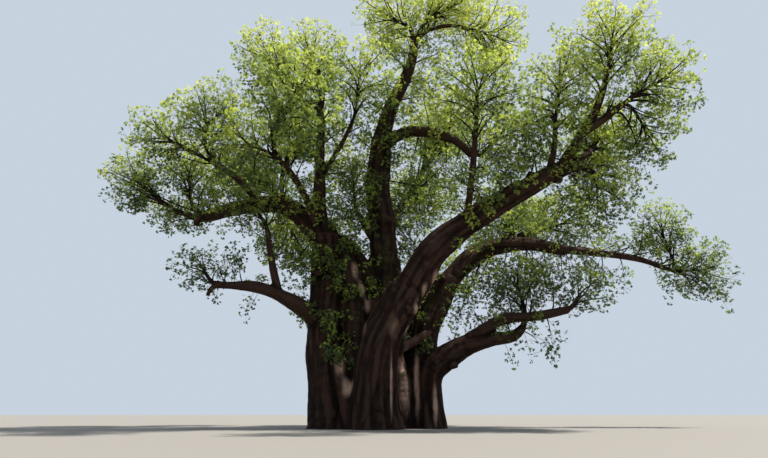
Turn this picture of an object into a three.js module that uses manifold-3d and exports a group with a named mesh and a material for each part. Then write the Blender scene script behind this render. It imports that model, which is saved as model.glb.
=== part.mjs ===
// An old baobab in leaf, at its real size in millimetres, +Z up.
// The origin is at ground level, in the middle of the ring of stems that make up the trunk.
// The trunk is one solid, each bough is a tapering limb cut clear of what carries it, and each mass
// of foliage is a stem with twigs and leaves, fused and kept inside a space of its own.
import * as THREE from 'three';
import { mergeVertices } from 'three/addons/utils/BufferGeometryUtils.js';
import Module from 'manifold-3d';

const wasm = await Module();
wasm.setup();

// Lengths below are in metres, and METRE turns them into the part's millimetres.
const METRE = 1000;
const GAP = 0.3;

// How many sides and lengthwise steps the limbs have. A bough over BROAD in radius has more sides.
const STEM_SIDES = 12;
const STEM_STEPS = 5;
const BROAD = 0.35;
const BROAD_SIDES = 8;
const SLIM_SIDES = 5;

// The root flare dies away within this height, and the folds of the bark are this deep.
const FLARE_HEIGHT = 1.1;
const FOLD_DEPTH = 0.07;
const FOLD_TWIST = 2;

// Masses that share a bough's tip have their stems side by side on it. This is the share of the tip's
// radius that each stem has, where one, two or three stand there, and how far off the middle they are.
const STEM_SHARE = [0.8, 0.45, 0.24];
const STEM_OFFSET = 0.5;
const STEM_SIDES_IN_MASS = 4;
const STEM_STEPS_IN_MASS = 3;
const STEM_BEND = 0.3;
const HEART_RADIUS = 0.065;

// Foliage: every leaf stands for a spray of real leaves. A blade is widest at LEAF_WAIST of its length.
const TWIGS_PER_MASS = 4;
const TWIG_SIDES = 3;
const TWIG_THICK = 0.045;
const TWIG_THIN = 0.038;
const SHORTEST_TWIG = 0.3;
const LEAF_LENGTH = 1.7;
const LEAF_WIDTH = 1.35;
const LEAF_THICKNESS = 0.1;
const LEAF_WAIST = 0.45;
const LEAF_SUNK = 0.015;

// The innermost twig leaves the stem of its mass this far along it, and each further one a step before.
const INNERMOST_TWIG = 0.98;
const TWIG_STEP = 0.06;

// Where leaves stand on a twig, in the order in which they grow: how far along it, and to which side.
const LEAF_PLACES = [{ along: 0.97, side: 0 }, { along: 0.62, side: 1 }, { along: 0.82, side: -1 }];
const LEAST_LEAF_TURN = 0.7;
const MOST_LEAF_TURN = 1.4;
const LEAVES_PER_MASS = 10;
const LEAF_TRIES = 20;

// What a mass keeps from the walls of its space, and a twig or leaf from what it must not touch.
const SPACE_GAP = 0.02;
const CLEARANCE = 0.02;
const GOLDEN_ANGLE = Math.PI * (3 - Math.sqrt(5));

const BARK = { color: 0x6f5d53, roughness: 0.85, metalness: 0 };
const LEAF = { color: 0x7d9a3c, roughness: 0.6, metalness: 0 };

// The stems that fuse into the trunk. Each follows its path from below ground, its radius goes from
// thick to thin, and flare is what it gains at the ground.
const STEMS = {
  left: {
    path: [[-2, -0.2, -0.4], [-2.4, -0.1, 4], [-2.3, 0, 6.5], [-2.4, 0.3, 9.3]],
    thick: 0.82, thin: 0.72, flare: 0.2,
  },
  left_back: {
    path: [[-1.5, 1.9, -0.4], [-1.5, 1.8, 3], [-1.7, 1.5, 6], [-2.2, 0.9, 8.6]],
    thick: 1, thin: 0.6, flare: 0.3,
  },
  leaning: {
    path: [[-0.7, -0.6, -0.4], [-0.8, -0.3, 3], [-0.95, 0, 6], [-1.7, 0.3, 8.8]],
    thick: 0.66, thin: 0.5, flare: 0.2,
  },
  crossing: {
    path: [[0.5, 1.1, 5.2], [0.1, 1.1, 6.6], [-0.8, 0.8, 8.1], [-1.8, 0.5, 9.1]],
    thick: 0.6, thin: 0.4, flare: 0,
  },
  front: {
    path: [[0.1, -1.2, -0.4], [0.05, -1.3, 1.7], [0.4, -1.3, 3.9], [1.6, -1.35, 6.2]],
    thick: 0.98, thin: 0.88, flare: 0.3,
  },
  centre: {
    path: [[0.5, 1.4, -0.4], [0.55, 1.5, 3], [0.55, 1.5, 6], [0.5, 1.4, 8.4]],
    thick: 1.3, thin: 0.8, flare: 0.3,
  },
  right: {
    path: [[2.05, 0.8, -0.4], [2.15, 0.8, 1.7], [2.6, 1, 4.5], [3.9, 1.5, 7.3]],
    thick: 0.8, thin: 0.6, flare: 0.25,
  },
  right_front: {
    path: [[2.75, 0.3, -0.4], [2.7, 0.3, 1.4], [2.75, 0.3, 2.4], [3.25, 0.2, 3.15]],
    thick: 0.5, thin: 0.62, flare: 0.2,
  },
  right_back: {
    path: [[1.9, 2.5, -0.4], [2, 2.4, 2.5], [2.2, 2.4, 5], [2.7, 2.5, 6.6]],
    thick: 0.95, thin: 0.5, flare: 0.3,
  },
  bridge: {
    path: [[0.7, -1, 3.2], [1.7, -0.6, 3.8], [2.6, 0.2, 4.35]],
    thick: 0.24, thin: 0.22, flare: 0,
  },
  core: {
    path: [[0.1, 0.6, -0.4], [0.15, 0.6, 2], [0.2, 0.7, 4.2], [0.3, 0.9, 5.8]],
    thick: 1.75, thin: 0.9, flare: 0.2,
  },
};

// The boughs, in the order in which they grow. Each starts inside what carries it and is cut clear.
const BOUGHS = {
  left_main: {
    path: [[-2.5, 0.3, 8.9], [-3.7, 0.6, 10.4], [-5, 0.8, 11.2], [-6.8, 1, 11.2], [-9.2, 1.3, 10.65]],
    thick: 0.6, thin: 0.3,
  },
  left_rising: {
    path: [[-6, 0.95, 11.2], [-7.2, 0.5, 12.5], [-8.6, 0, 13.4]],
    thick: 0.22, thin: 0.17,
  },
  left_front: {
    path: [[-2.8, 0.2, 9.3], [-3.4, -0.3, 11], [-4.1, -1.1, 12.1], [-4.8, -2.2, 12.7]],
    thick: 0.22, thin: 0.15,
  },
  upright: {
    path: [[-2.5, 0.4, 8.9], [-2.85, 0.45, 11], [-2.9, 0.3, 13.4], [-2.85, 0, 15.8]],
    thick: 0.42, thin: 0.19,
  },
  upright_fork: {
    path: [[-2.85, 0.35, 12.6], [-2, 0.2, 14], [-1.3, -0.4, 15.1]],
    thick: 0.17, thin: 0.12,
  },
  centre: {
    path: [[0.5, 1.4, 7.8], [0.45, 1.3, 10.2], [0.2, 1.2, 12.2], [0.35, 1.1, 15.2]],
    thick: 0.74, thin: 0.58,
  },
  top: {
    path: [[0.25, 1.1, 14.7], [0.85, 1, 16.9], [2, 0.8, 19.6], [2.3, 0.6, 21.5]],
    thick: 0.5, thin: 0.22,
  },
  top_side: {
    path: [[2.2, 0.65, 20.9], [3, 0.5, 21.7], [4.2, 0.4, 22], [5.2, 0.3, 21.8]],
    thick: 0.15, thin: 0.11,
  },
  centre_side: {
    path: [[0.4, 1.1, 14.7], [1.3, 0.9, 15.3], [2.3, 0.6, 15.4], [4.2, 0, 14.6], [5.1, -0.3, 13.6]],
    thick: 0.36, thin: 0.2,
  },
  right_main: {
    path: [[1.4, -1.33, 5.7], [2.8, -1.5, 8], [4.35, -1.6, 9.3], [8.3, -2, 11.6], [10.2, -1.9, 12.5]],
    thick: 0.84, thin: 0.36,
  },
  right_spur: {
    path: [[8.4, -2, 11.6], [8.8, -2.3, 13], [8.9, -2.6, 14.4]],
    thick: 0.17, thin: 0.13,
  },
  right_rising: {
    path: [[9, -2.1, 11.9], [10, -2.7, 13.5], [10.8, -2.8, 14.7], [11.4, -2.9, 16.2]],
    thick: 0.28, thin: 0.17,
  },
  right_outer: {
    path: [[10, -2.7, 13.5], [11.3, -3, 14.4], [12.1, -3.2, 15]],
    thick: 0.2, thin: 0.17,
  },
  far_right_inner: {
    path: [[3.7, 1.4, 6.9], [5, 1.9, 8.6], [6.5, 2.2, 9.3], [8.5, 2.5, 9.5], [10.5, 2.8, 9.25]],
    thick: 0.55, thin: 0.3,
  },
  far_right_outer: {
    path: [[10.2, 2.75, 9.3], [12.5, 3, 9.15], [14.6, 3, 8.8], [16.2, 3, 8.2]],
    thick: 0.26, thin: 0.13,
  },
  low_right: {
    path: [[3, 0.25, 2.9], [4.2, 0.1, 3.7], [5.5, 0, 4.05], [6.8, 0.25, 4.3], [7.4, 0.6, 4.8]],
    thick: 0.66, thin: 0.2,
  },
  low_right_fork: {
    path: [[4.6, 0, 4.1], [6.2, -0.4, 4.95], [7.8, -0.65, 5.1], [9.2, -0.9, 5.35]],
    thick: 0.34, thin: 0.18,
  },
  low_left: {
    path: [[-2.4, -0.2, 4.6], [-3.6, -0.7, 5.6], [-5.3, -1.05, 6.35], [-7.4, -1.4, 6.45]],
    thick: 0.46, thin: 0.16,
  },
  low_left_fork: {
    path: [[-4.5, -0.9, 6.1], [-4.95, -0.8, 7.7], [-5.3, -0.6, 9.4]],
    thick: 0.24, thin: 0.14,
  },
  back_left: {
    path: [[-2.2, 0.8, 8.4], [-3.3, 2.6, 10.2], [-4.7, 4.2, 12], [-5.8, 5, 13.4]],
    thick: 0.44, thin: 0.27,
  },
  back_right: {
    path: [[2.6, 2.5, 6.2], [4.2, 4, 7.8], [6.2, 5.4, 9.4], [8, 6, 10.6]],
    thick: 0.45, thin: 0.22,
  },
  inner_back: {
    path: [[0.2, 1.5, 9], [-0.4, 2.3, 10.3], [-1, 3, 11.5]],
    thick: 0.28, thin: 0.18,
  },
  back_centre: {
    path: [[0.5, 1.5, 9.2], [1.2, 3.8, 11.6], [2.1, 5.6, 13.6]],
    thick: 0.38, thin: 0.22,
  },
  front_right: {
    path: [[4.4, -1.75, 9.3], [4.5, -3.4, 10.7], [4.5, -5.1, 12.1]],
    thick: 0.19, thin: 0.14,
  },
};

// The masses of foliage: the bough that bears each, the middle of its space and its three half widths.
const MASSES = {
  left_tip: { on: 'left_main', centre: [-12.9, 0.6, 12.6], half: [1.8, 2.2, 2] },
  left_belly: { on: 'left_main', centre: [-10.3, 1.4, 13.6], half: [2.3, 2.4, 1.9] },
  left_skirt: { on: 'left_main', centre: [-11, 2.6, 11.4], half: [2.3, 2.2, 1.3] },
  left_shoulder: { on: 'left_rising', centre: [-10.9, -1, 14.3], half: [2, 2.5, 1.6] },
  left_brow: { on: 'left_rising', centre: [-8.3, -2.4, 14.6], half: [2.3, 2.6, 1.7] },
  left_inner: { on: 'left_front', centre: [-5.8, -3.6, 12.6], half: [2.2, 2.4, 2] },
  left_back: { on: 'back_left', centre: [-8.6, 6, 15.4], half: [2.8, 3, 2.2] },
  left_under: { on: 'low_left_fork', centre: [-6.1, 0.2, 10.7], half: [1.8, 2.1, 0.9] },
  upper_left_far: { on: 'upright', centre: [-5.6, -1.4, 18.7], half: [2, 2.6, 1.8] },
  upper_left_top: { on: 'upright', centre: [-3.4, -0.8, 19.2], half: [2.1, 2.6, 1.9] },
  upper_left_back: { on: 'back_left', centre: [-4.6, 5, 17.9], half: [2.8, 3, 2.2] },
  upper_middle: { on: 'upright_fork', centre: [-0.7, -2.6, 17], half: [2.1, 2.4, 1.8] },
  top_left: { on: 'top', centre: [0.8, 0.3, 22.6], half: [2.2, 2.8, 2.1] },
  top_middle: { on: 'top', centre: [4.7, 1.2, 24.2], half: [2.6, 2.8, 1.7] },
  top_right: { on: 'top_side', centre: [6.7, 0.4, 21.4], half: [2.2, 2.6, 2.3] },
  front_left: { on: 'left_front', centre: [-3.3, -6.6, 13.7], half: [2.3, 2.5, 1.8] },
  front_right: { on: 'front_right', centre: [4.4, -7, 13.7], half: [2.5, 2.6, 1.8] },
  middle_right: { on: 'centre_side', centre: [6.3, -1.8, 13.9], half: [2.3, 2.4, 2.2] },
  back_upper_right: { on: 'back_centre', centre: [4.5, 6, 18.6], half: [3, 3, 2.4] },
  right_crown_left: { on: 'right_spur', centre: [9, -3.4, 15.8], half: [2, 2.6, 2.3] },
  right_crown_top: { on: 'right_rising', centre: [12, -3.2, 18.8], half: [2.2, 2.6, 2] },
  right_crown_far: { on: 'right_outer', centre: [13.8, -3.6, 16], half: [1.9, 2.4, 2.1] },
  right_crown_low: { on: 'right_outer', centre: [13.3, -2.6, 13.8], half: [1.9, 2.4, 1.9] },
  right_crown_mid: { on: 'right_main', centre: [12.2, 0.8, 15.2], half: [2.2, 2.4, 2.1] },
  right_droop: { on: 'right_main', centre: [11.6, -0.6, 11.4], half: [1.9, 2.4, 2.2] },
  right_hang: { on: 'back_right', centre: [11.3, 4.4, 11.4], half: [2.3, 2.4, 2.3] },
  back_right: { on: 'back_right', centre: [8.8, 8.4, 13.4], half: [3, 2.8, 2.4] },
  far_right_top: { on: 'far_right_outer', centre: [16.4, 3.8, 11], half: [1.6, 2.2, 1.7] },
  far_right_tip: { on: 'far_right_outer', centre: [18, 3, 8.2], half: [1.9, 2, 1.9] },
  low_right_out: { on: 'low_right_fork', centre: [10, -0.8, 6.3], half: [1.6, 1.9, 1.3] },
  low_right_in: { on: 'low_right', centre: [7.3, 1.1, 7.2], half: [2.4, 2.3, 1.6] },
  inner: { on: 'inner_back', centre: [-1.3, 3.4, 13.6], half: [2.1, 2, 3] },
  back_centre: { on: 'back_centre', centre: [3, 8.8, 14.4], half: [3, 2.8, 2.4] },
  back_left: { on: 'back_left', centre: [-5.2, 8.2, 11.4], half: [3, 2.6, 2.1] },
  low_left_tip: { on: 'low_left', centre: [-8.1, -1.5, 7.3], half: [1.6, 1.8, 1.2] },
};

const inMillimetres = (point) => new THREE.Vector3(...point).multiplyScalar(METRE);

// A seeded source of numbers from 0 to 1, so that the tree is the same each time.
function seeded(seed) {
  let state = seed;
  return () => {
    state = (state + 0x6d2b79f5) | 0;
    let mixed = Math.imul(state ^ (state >>> 15), 1 | state);
    mixed = (mixed + Math.imul(mixed ^ (mixed >>> 7), 61 | mixed)) ^ mixed;
    return ((mixed ^ (mixed >>> 14)) >>> 0) / 4294967296;
  };
}

// Turns a closed three.js geometry into a solid that can be joined and cut.
function solidOf(geometry) {
  const bare = geometry.clone();
  bare.deleteAttribute('normal');
  bare.deleteAttribute('uv');
  const merged = mergeVertices(bare);
  return new wasm.Manifold(new wasm.Mesh({
    numProp: 3,
    vertProperties: new Float32Array(merged.getAttribute('position').array),
    triVerts: new Uint32Array(merged.index.array),
  }));
}

// Bends a round bar along a curve. radiusAt(along, turn) gives its radius in millimetres, and grow
// makes it fatter and longer by that much, for cutting others clear of it.
function bentBar(curve, sides, steps, radiusAt, grow = 0) {
  const bar = new THREE.CylinderGeometry(1, 1, 1, sides, steps);
  const frames = curve.computeFrenetFrames(steps, false);
  const position = bar.getAttribute('position');
  const vertex = new THREE.Vector3();
  for (let i = 0; i < position.count; i += 1) {
    vertex.fromBufferAttribute(position, i);
    const along = vertex.y + 0.5;
    const ring = Math.round(along * steps);
    const turn = Math.atan2(vertex.z, vertex.x);
    const reach = Math.hypot(vertex.x, vertex.z) * (radiusAt(along, turn) + grow);
    const lengthened = (Number(ring === steps) - Number(ring === 0)) * grow;
    const place = curve.getPointAt(ring / steps)
      .addScaledVector(frames.tangents[ring], lengthened)
      .addScaledVector(frames.normals[ring], reach * Math.cos(turn))
      .addScaledVector(frames.binormals[ring], -reach * Math.sin(turn));
    position.setXYZ(i, place.x, place.y, place.z);
  }
  return solidOf(bar);
}

const curveThrough = (path) => new THREE.CatmullRomCurve3(path.map(inMillimetres), false, 'centripetal');

// A stem of the trunk: folded lengthwise, and flared at the ground.
function trunkStem({ path, thick, thin, flare }, index, grow) {
  const curve = curveThrough(path);
  const folds = 3 + (index % 2);
  const radiusAt = (along, turn) => {
    const height = curve.getPointAt(along).z / METRE;
    const foot = flare * Math.exp(-Math.max(height, 0) / FLARE_HEIGHT);
    const fold = 1 + FOLD_DEPTH * Math.cos(folds * turn + index + FOLD_TWIST * along);
    return (THREE.MathUtils.lerp(thick, thin, along) + foot) * fold * METRE;
  };
  return bentBar(curve, STEM_SIDES, STEM_STEPS, radiusAt, grow);
}

// The whole trunk: the stems fused, and cut off flat at the ground.
function trunk(grow = 0) {
  const stems = Object.values(STEMS).map((shape, index) => trunkStem(shape, index, grow));
  return wasm.Manifold.union(stems).trimByPlane([0, 0, 1], 0);
}

// A bough tapers evenly from its root to its tip.
function bough({ path, thick, thin }, grow = 0) {
  const radiusAt = (along) => THREE.MathUtils.lerp(thick, thin, along) * METRE;
  const sides = thick > BROAD ? BROAD_SIDES : SLIM_SIDES;
  return bentBar(curveThrough(path), sides, path.length, radiusAt, grow);
}

const isClearOf = (solid, other) => solid.minGap(other, CLEARANCE * METRE) >= CLEARANCE * METRE;
const largestPiece = (solid) => solid.decompose().reduce((a, b) => (a.volume() > b.volume() ? a : b));

function boxesMeet(a, b) {
  const [p, q] = [a.boundingBox(), b.boundingBox()];
  return [0, 1, 2].every((axis) => p.min[axis] < q.max[axis] && q.min[axis] < p.max[axis]);
}

// The space of a mass is its ellipsoid, cut off by a flat wall towards each of the others.
// Places in it are in metres from its middle.
function spaceOf(name) {
  const { centre, half } = MASSES[name];
  const here = new THREE.Vector3(...centre);
  const reachTowards = (widths, n) => Math.hypot(widths[0] * n.x, widths[1] * n.y, widths[2] * n.z);
  const walls = Object.keys(MASSES).filter((other) => other !== name).map((other) => {
    const normal = new THREE.Vector3(...MASSES[other].centre).sub(here);
    const apart = normal.length();
    normal.normalize();
    const mine = reachTowards(half, normal);
    const share = mine / (mine + reachTowards(MASSES[other].half, normal));
    return { normal, distance: apart * share - SPACE_GAP };
  });
  const depthIn = (away) => Math.hypot(away.x / half[0], away.y / half[1], away.z / half[2]);
  return {
    holds: (away) => depthIn(away) < 1 && walls.every(({ normal, distance }) => away.dot(normal) < distance),
    reach: (direction) => {
      const facing = walls.filter(({ normal }) => direction.dot(normal) > 0);
      const toWalls = facing.map(({ normal, distance }) => distance / direction.dot(normal));
      return Math.min(1 / depthIn(direction), ...toWalls);
    },
  };
}

// The stem of a mass leaves its bough's tip square to the tip's end, beside the stems that share the
// tip and on the side where its own mass lies, and ends at the heart of the mass.
function massStem(name) {
  const { on } = MASSES[name];
  const carrier = curveThrough(BOUGHS[on].path);
  const [tip, forward] = [carrier.getPointAt(1), carrier.getTangentAt(1)];
  const tipRadius = BOUGHS[on].thin * METRE;
  const onThisTip = Object.values(MASSES).filter((mass) => mass.on === on);
  const sidewaysTo = (mass) => inMillimetres(mass.centre).sub(tip).projectOnPlane(forward).normalize();
  const sideways = sidewaysTo(MASSES[name]);
  onThisTip.forEach((mass) => sideways.addScaledVector(sidewaysTo(mass), -1 / onThisTip.length));
  const root = tip.clone().addScaledVector(forward, GAP);
  if (onThisTip.length > 1) root.addScaledVector(sideways.normalize(), tipRadius * STEM_OFFSET);
  const heart = inMillimetres(MASSES[name].centre);
  const bend = heart.distanceTo(root) * STEM_BEND;
  const inwards = heart.clone().sub(root).normalize();
  const curve = new THREE.CubicBezierCurve3(
    root,
    root.clone().addScaledVector(forward, bend),
    heart.clone().addScaledVector(inwards, -bend),
    heart,
  );
  const thick = tipRadius * STEM_SHARE[onThisTip.length - 1];
  const radiusAt = (along) => THREE.MathUtils.lerp(thick, HEART_RADIUS * METRE, along);
  return { curve, solid: bentBar(curve, STEM_SIDES_IN_MASS, STEM_STEPS_IN_MASS, radiusAt) };
}

// A leaf: a thin blade of eight faces whose root is sunk in the twig, behind the point it grows from.
function leafAt(point, direction, face) {
  const side = new THREE.Vector3().crossVectors(face, direction).normalize();
  const up = new THREE.Vector3().crossVectors(direction, side);
  const root = point.clone().addScaledVector(direction, -LEAF_SUNK * METRE);
  const blade = new THREE.OctahedronGeometry(0.5);
  const position = blade.getAttribute('position');
  for (let i = 0; i < position.count; i += 1) {
    const along = position.getX(i) + 0.5;
    position.setX(i, along === 0.5 ? LEAF_WAIST : along);
  }
  blade.scale(LEAF_LENGTH * METRE, LEAF_WIDTH * METRE, LEAF_THICKNESS * METRE);
  blade.applyMatrix4(new THREE.Matrix4().makeBasis(direction, side, up).setPosition(root));
  return blade;
}

// Directions spread evenly round a point, as many as count, stretched to the shape of the mass.
function evenDirection(index, count, turned, half) {
  const height = 1 - (2 * index + 1) / count;
  const level = Math.sqrt(1 - height * height);
  const turn = GOLDEN_ANGLE * index + turned;
  const round = [level * Math.cos(turn), level * Math.sin(turn), height];
  return new THREE.Vector3(...round.map((part, axis) => part * half[axis])).normalize();
}

// Twigs leave the inner end of the stem in directions spread evenly round it, each as long as lets a
// leaf at its end just reach the edge of the space. A twig that would touch a limb is skipped.
function twigsOf(name, index, stem, obstacles) {
  const { centre, half } = MASSES[name];
  const { reach } = spaceOf(name);
  const radiusAt = (along) => THREE.MathUtils.lerp(TWIG_THICK, TWIG_THIN, along) * METRE;
  return Array.from({ length: TWIGS_PER_MASS }, (_, twig) => {
    const outwards = evenDirection(twig, TWIGS_PER_MASS, index, half);
    const length = Math.max(reach(outwards) - LEAF_LENGTH, SHORTEST_TWIG);
    const start = stem.curve.getPointAt(INNERMOST_TWIG - TWIG_STEP * twig);
    const end = inMillimetres(centre).addScaledVector(outwards, length * METRE);
    const curve = new THREE.LineCurve3(start, end);
    return { curve, outwards, solid: bentBar(curve, TWIG_SIDES, 1, radiusAt) };
  }).filter(({ solid }) => isClearOf(solid, obstacles));
}

// Leaves go to the ends of the twigs first, and then stand out on one side of each and on the other.
// Each turns a little at random until it stays in the space, clear of limbs, twigs and other leaves,
// and one that finds no such place is skipped.
function leavesOf(name, index, stem, twigs, obstacles) {
  const random = seeded(index + 1);
  const { holds } = spaceOf(name);
  const heart = inMillimetres(MASSES[name].centre);
  const corner = new THREE.Vector3();
  const staysIn = (blade) => {
    const position = blade.getAttribute('position');
    const corners = Array.from({ length: position.count }, (_, i) => i);
    const awayFromHeart = (i) => corner.fromBufferAttribute(position, i).sub(heart).divideScalar(METRE);
    return corners.every((i) => holds(awayFromHeart(i)));
  };
  const leaves = [];
  const growLeaf = (twig, { along, side }) => {
    const place = twig.curve.getPointAt(along);
    for (let attempt = 0; attempt < LEAF_TRIES; attempt += 1) {
      const face = new THREE.Vector3(random() - 0.5, random() - 0.5, 0.5 * random()).normalize();
      const turn = side * THREE.MathUtils.lerp(LEAST_LEAF_TURN, MOST_LEAF_TURN, random());
      const pointing = twig.outwards.clone().applyAxisAngle(face, turn);
      const blade = leafAt(place, pointing, face);
      const solid = solidOf(blade);
      const others = [stem, ...twigs].filter((other) => other !== twig).map((other) => other.solid);
      if (staysIn(blade) && [obstacles, ...others, ...leaves].every((other) => isClearOf(solid, other))) {
        leaves.push(solid);
        return;
      }
    }
  };
  LEAF_PLACES.forEach((leafPlace) => twigs.forEach((twig) => {
    if (leaves.length < LEAVES_PER_MASS) growLeaf(twig, leafPlace);
  }));
  return leaves;
}

// A whole mass of foliage: its stem, twigs and leaves fused into one solid.
function foliage(name, index, stem, obstacles) {
  const twigs = twigsOf(name, index, stem, obstacles);
  const leaves = leavesOf(name, index, stem, twigs, obstacles);
  const grown = [stem.solid, ...twigs.map(({ solid }) => solid), ...leaves];
  return largestPiece(wasm.Manifold.union(grown));
}

// A named mesh of the scene, from a solid.
function meshOf(name, solid, look) {
  const { numProp, numVert, vertProperties, triVerts } = solid.getMesh();
  const corners = new Float32Array(numVert * 3);
  for (let i = 0; i < numVert; i += 1) {
    corners.set(vertProperties.subarray(i * numProp, i * numProp + 3), i * 3);
  }
  const geometry = new THREE.BufferGeometry();
  geometry.setAttribute('position', new THREE.BufferAttribute(corners, 3));
  geometry.setIndex(new THREE.BufferAttribute(triVerts, 1));
  geometry.computeVertexNormals();
  const mesh = new THREE.Mesh(geometry, new THREE.MeshStandardMaterial({ ...look, flatShading: true }));
  mesh.name = name;
  return mesh;
}

const tree = new THREE.Group();
tree.add(meshOf('trunk', trunk(), BARK));

// Every limb so far, grown by the gap, is what the next one is cut clear of.
const limbs = [trunk(GAP)];
Object.entries(BOUGHS).forEach(([name, shape]) => {
  const whole = bough(shape);
  const clear = limbs.filter((limb) => boxesMeet(limb, whole))
    .reduce((solid, limb) => solid.subtract(limb), whole);
  tree.add(meshOf(`bough_${name}`, largestPiece(clear), BARK));
  limbs.push(bough(shape, GAP));
});

// Foliage keeps clear of every limb and of the stems of the other masses.
const stems = Object.fromEntries(Object.keys(MASSES).map((name) => [name, massStem(name)]));
Object.keys(MASSES).forEach((name, index) => {
  const otherStems = Object.keys(MASSES).filter((other) => other !== name).map((other) => stems[other].solid);
  const obstacles = wasm.Manifold.union([...limbs, ...otherStems]);
  tree.add(meshOf(`foliage_${name}`, foliage(name, index, stems[name], obstacles), LEAF));
});

export default tree;
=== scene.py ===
# %% [markdown]
# # An old baobab in leaf
# A baobab stands on a trunk as wide as a room. The trunk is really a ring of stems that have grown
# together, and each carries boughs that taper quickly and end in a haze of fine twigs and small leaves.
# We load the solid model first. It gives the size and the place of every limb and of every mass of
# foliage, so all that follows is built in the same metres, round the same origin at ground level.

import math

import bmesh
import bpy
import numpy as np
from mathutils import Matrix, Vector, noise


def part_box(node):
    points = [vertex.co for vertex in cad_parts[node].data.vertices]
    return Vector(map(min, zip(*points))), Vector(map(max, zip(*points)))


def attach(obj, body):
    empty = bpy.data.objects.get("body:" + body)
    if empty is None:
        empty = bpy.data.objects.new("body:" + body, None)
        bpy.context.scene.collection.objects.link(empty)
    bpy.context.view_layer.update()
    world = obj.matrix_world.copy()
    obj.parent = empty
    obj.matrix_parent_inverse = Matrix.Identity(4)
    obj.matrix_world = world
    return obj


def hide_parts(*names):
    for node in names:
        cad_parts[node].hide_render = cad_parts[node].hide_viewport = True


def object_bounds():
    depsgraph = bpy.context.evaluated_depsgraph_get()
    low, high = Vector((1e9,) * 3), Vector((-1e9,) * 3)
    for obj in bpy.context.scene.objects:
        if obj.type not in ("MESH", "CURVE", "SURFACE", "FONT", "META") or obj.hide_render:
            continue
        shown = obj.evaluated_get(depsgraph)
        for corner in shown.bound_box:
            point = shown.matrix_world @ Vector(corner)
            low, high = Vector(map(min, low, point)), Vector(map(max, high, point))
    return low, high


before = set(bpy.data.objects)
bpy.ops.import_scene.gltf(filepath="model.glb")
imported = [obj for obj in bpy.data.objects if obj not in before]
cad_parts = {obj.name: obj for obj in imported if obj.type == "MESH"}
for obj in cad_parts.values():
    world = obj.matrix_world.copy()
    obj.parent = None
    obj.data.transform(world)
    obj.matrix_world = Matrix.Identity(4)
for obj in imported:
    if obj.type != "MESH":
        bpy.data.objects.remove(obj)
solid_low, solid_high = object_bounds()
print("solid model:", [round(h - l, 2) for l, h in zip(solid_low, solid_high)], "m")

# %% [markdown]
# ## The camera
# The tree is seen from about its own height away, with the eye just above the ground and tilted up. A
# camera in Blender looks along its own -Z, so a turn of 90 degrees about X makes it look level, and the
# rest of the turn tilts it up. A fairly wide lens gives the limbs the lean that they have from so close.

# %% Set the camera
EYE = (0.5, -29.0, 0.65)
TILT_UP = 17.2
camera = bpy.data.objects.new("camera", bpy.data.cameras.new("camera"))
bpy.context.scene.collection.objects.link(camera)
camera.location = EYE
camera.rotation_euler = (math.radians(90 + TILT_UP), 0, 0)
camera.data.lens = 28
camera.data.sensor_width = 36
camera.data.clip_end = 2000
bpy.context.scene.camera = camera
print("camera", EYE, "tilted up by", TILT_UP, "degrees")

# %% [markdown]
# ## Floor and light
# A studio is a pale floor with soft light from all round. One large lamp high up on one side stands for
# the sun, so that the tops of the leaves are bright and the trunk lies in the crown's own shade. Light
# from all sides comes from the world, whose colour is what shows behind the tree. Blender's usual view
# transform greys strong colours, as film does. The plain Standard one keeps the fresh greens.


# %% Lay the floor and hang the lamp
def from_screen(red, green, blue):
    """A colour as a screen shows it, 0 to 255, turned into the plain light values that Blender uses."""
    def plain(part):
        part /= 255
        return part / 12.92 if part <= 0.04045 else ((part + 0.055) / 1.055) ** 2.4
    return (plain(red), plain(green), plain(blue), 1.0)


def piece_from(mesh_maker, name):
    """A new object whose mesh is what mesh_maker does to an empty bmesh."""
    bm = bmesh.new()
    mesh_maker(bm)
    mesh = bpy.data.meshes.new(name)
    bm.to_mesh(mesh)
    bm.free()
    piece = bpy.data.objects.new(name, mesh)
    bpy.context.scene.collection.objects.link(piece)
    return piece


bpy.context.scene.view_settings.view_transform = "Standard"
FLOOR_RADIUS = 400
floor = piece_from(lambda bm: bmesh.ops.create_circle(
    bm, cap_ends=True, segments=96, radius=FLOOR_RADIUS), "floor")
floor_paint = bpy.data.materials.new("floor_paint")
floor_paint.use_nodes = True
floor_shader = floor_paint.node_tree.nodes["Principled BSDF"]
floor_shader.inputs["Base Color"].default_value = from_screen(120, 116, 111)
floor_shader.inputs["Roughness"].default_value = 0.9
floor.data.materials.append(floor_paint)

world = bpy.data.worlds.new("pale_room")
world.use_nodes = True
background = world.node_tree.nodes["Background"]
background.inputs["Color"].default_value = from_screen(214, 226, 240)
background.inputs["Strength"].default_value = 0.85
bpy.context.scene.world = world

SUN_SHINES_ALONG = (-0.5, -0.1, -1.0)
sunlight = bpy.data.lights.new("sun", "SUN")
sunlight.energy = 8.5
sunlight.angle = math.radians(2)
sunlight.color = (1.0, 0.955, 0.87)
sun = bpy.data.objects.new("sun", sunlight)
sun.rotation_mode = "QUATERNION"
sun.rotation_quaternion = Vector(SUN_SHINES_ALONG).to_track_quat("-Z", "Y")
bpy.context.scene.collection.objects.link(sun)
print("floor of", FLOOR_RADIUS, "m round the tree, one lamp:", sun.name)

# %% [markdown]
# ## Lines that limbs follow
# Every limb is a bar bent along a smooth line through a few points. The line here is a centripetal
# Catmull-Rom spline, the same kind as in the solid model, so both follow the same path. Blender has
# curves of its own, but they round a path in another way and the limbs would drift off the solids.
# A frame is carried along the line, so that folds in the bark run on without a twist.

# %% Work out a smooth line and the frames along it
STEPS_PER_SPAN = 24


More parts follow.
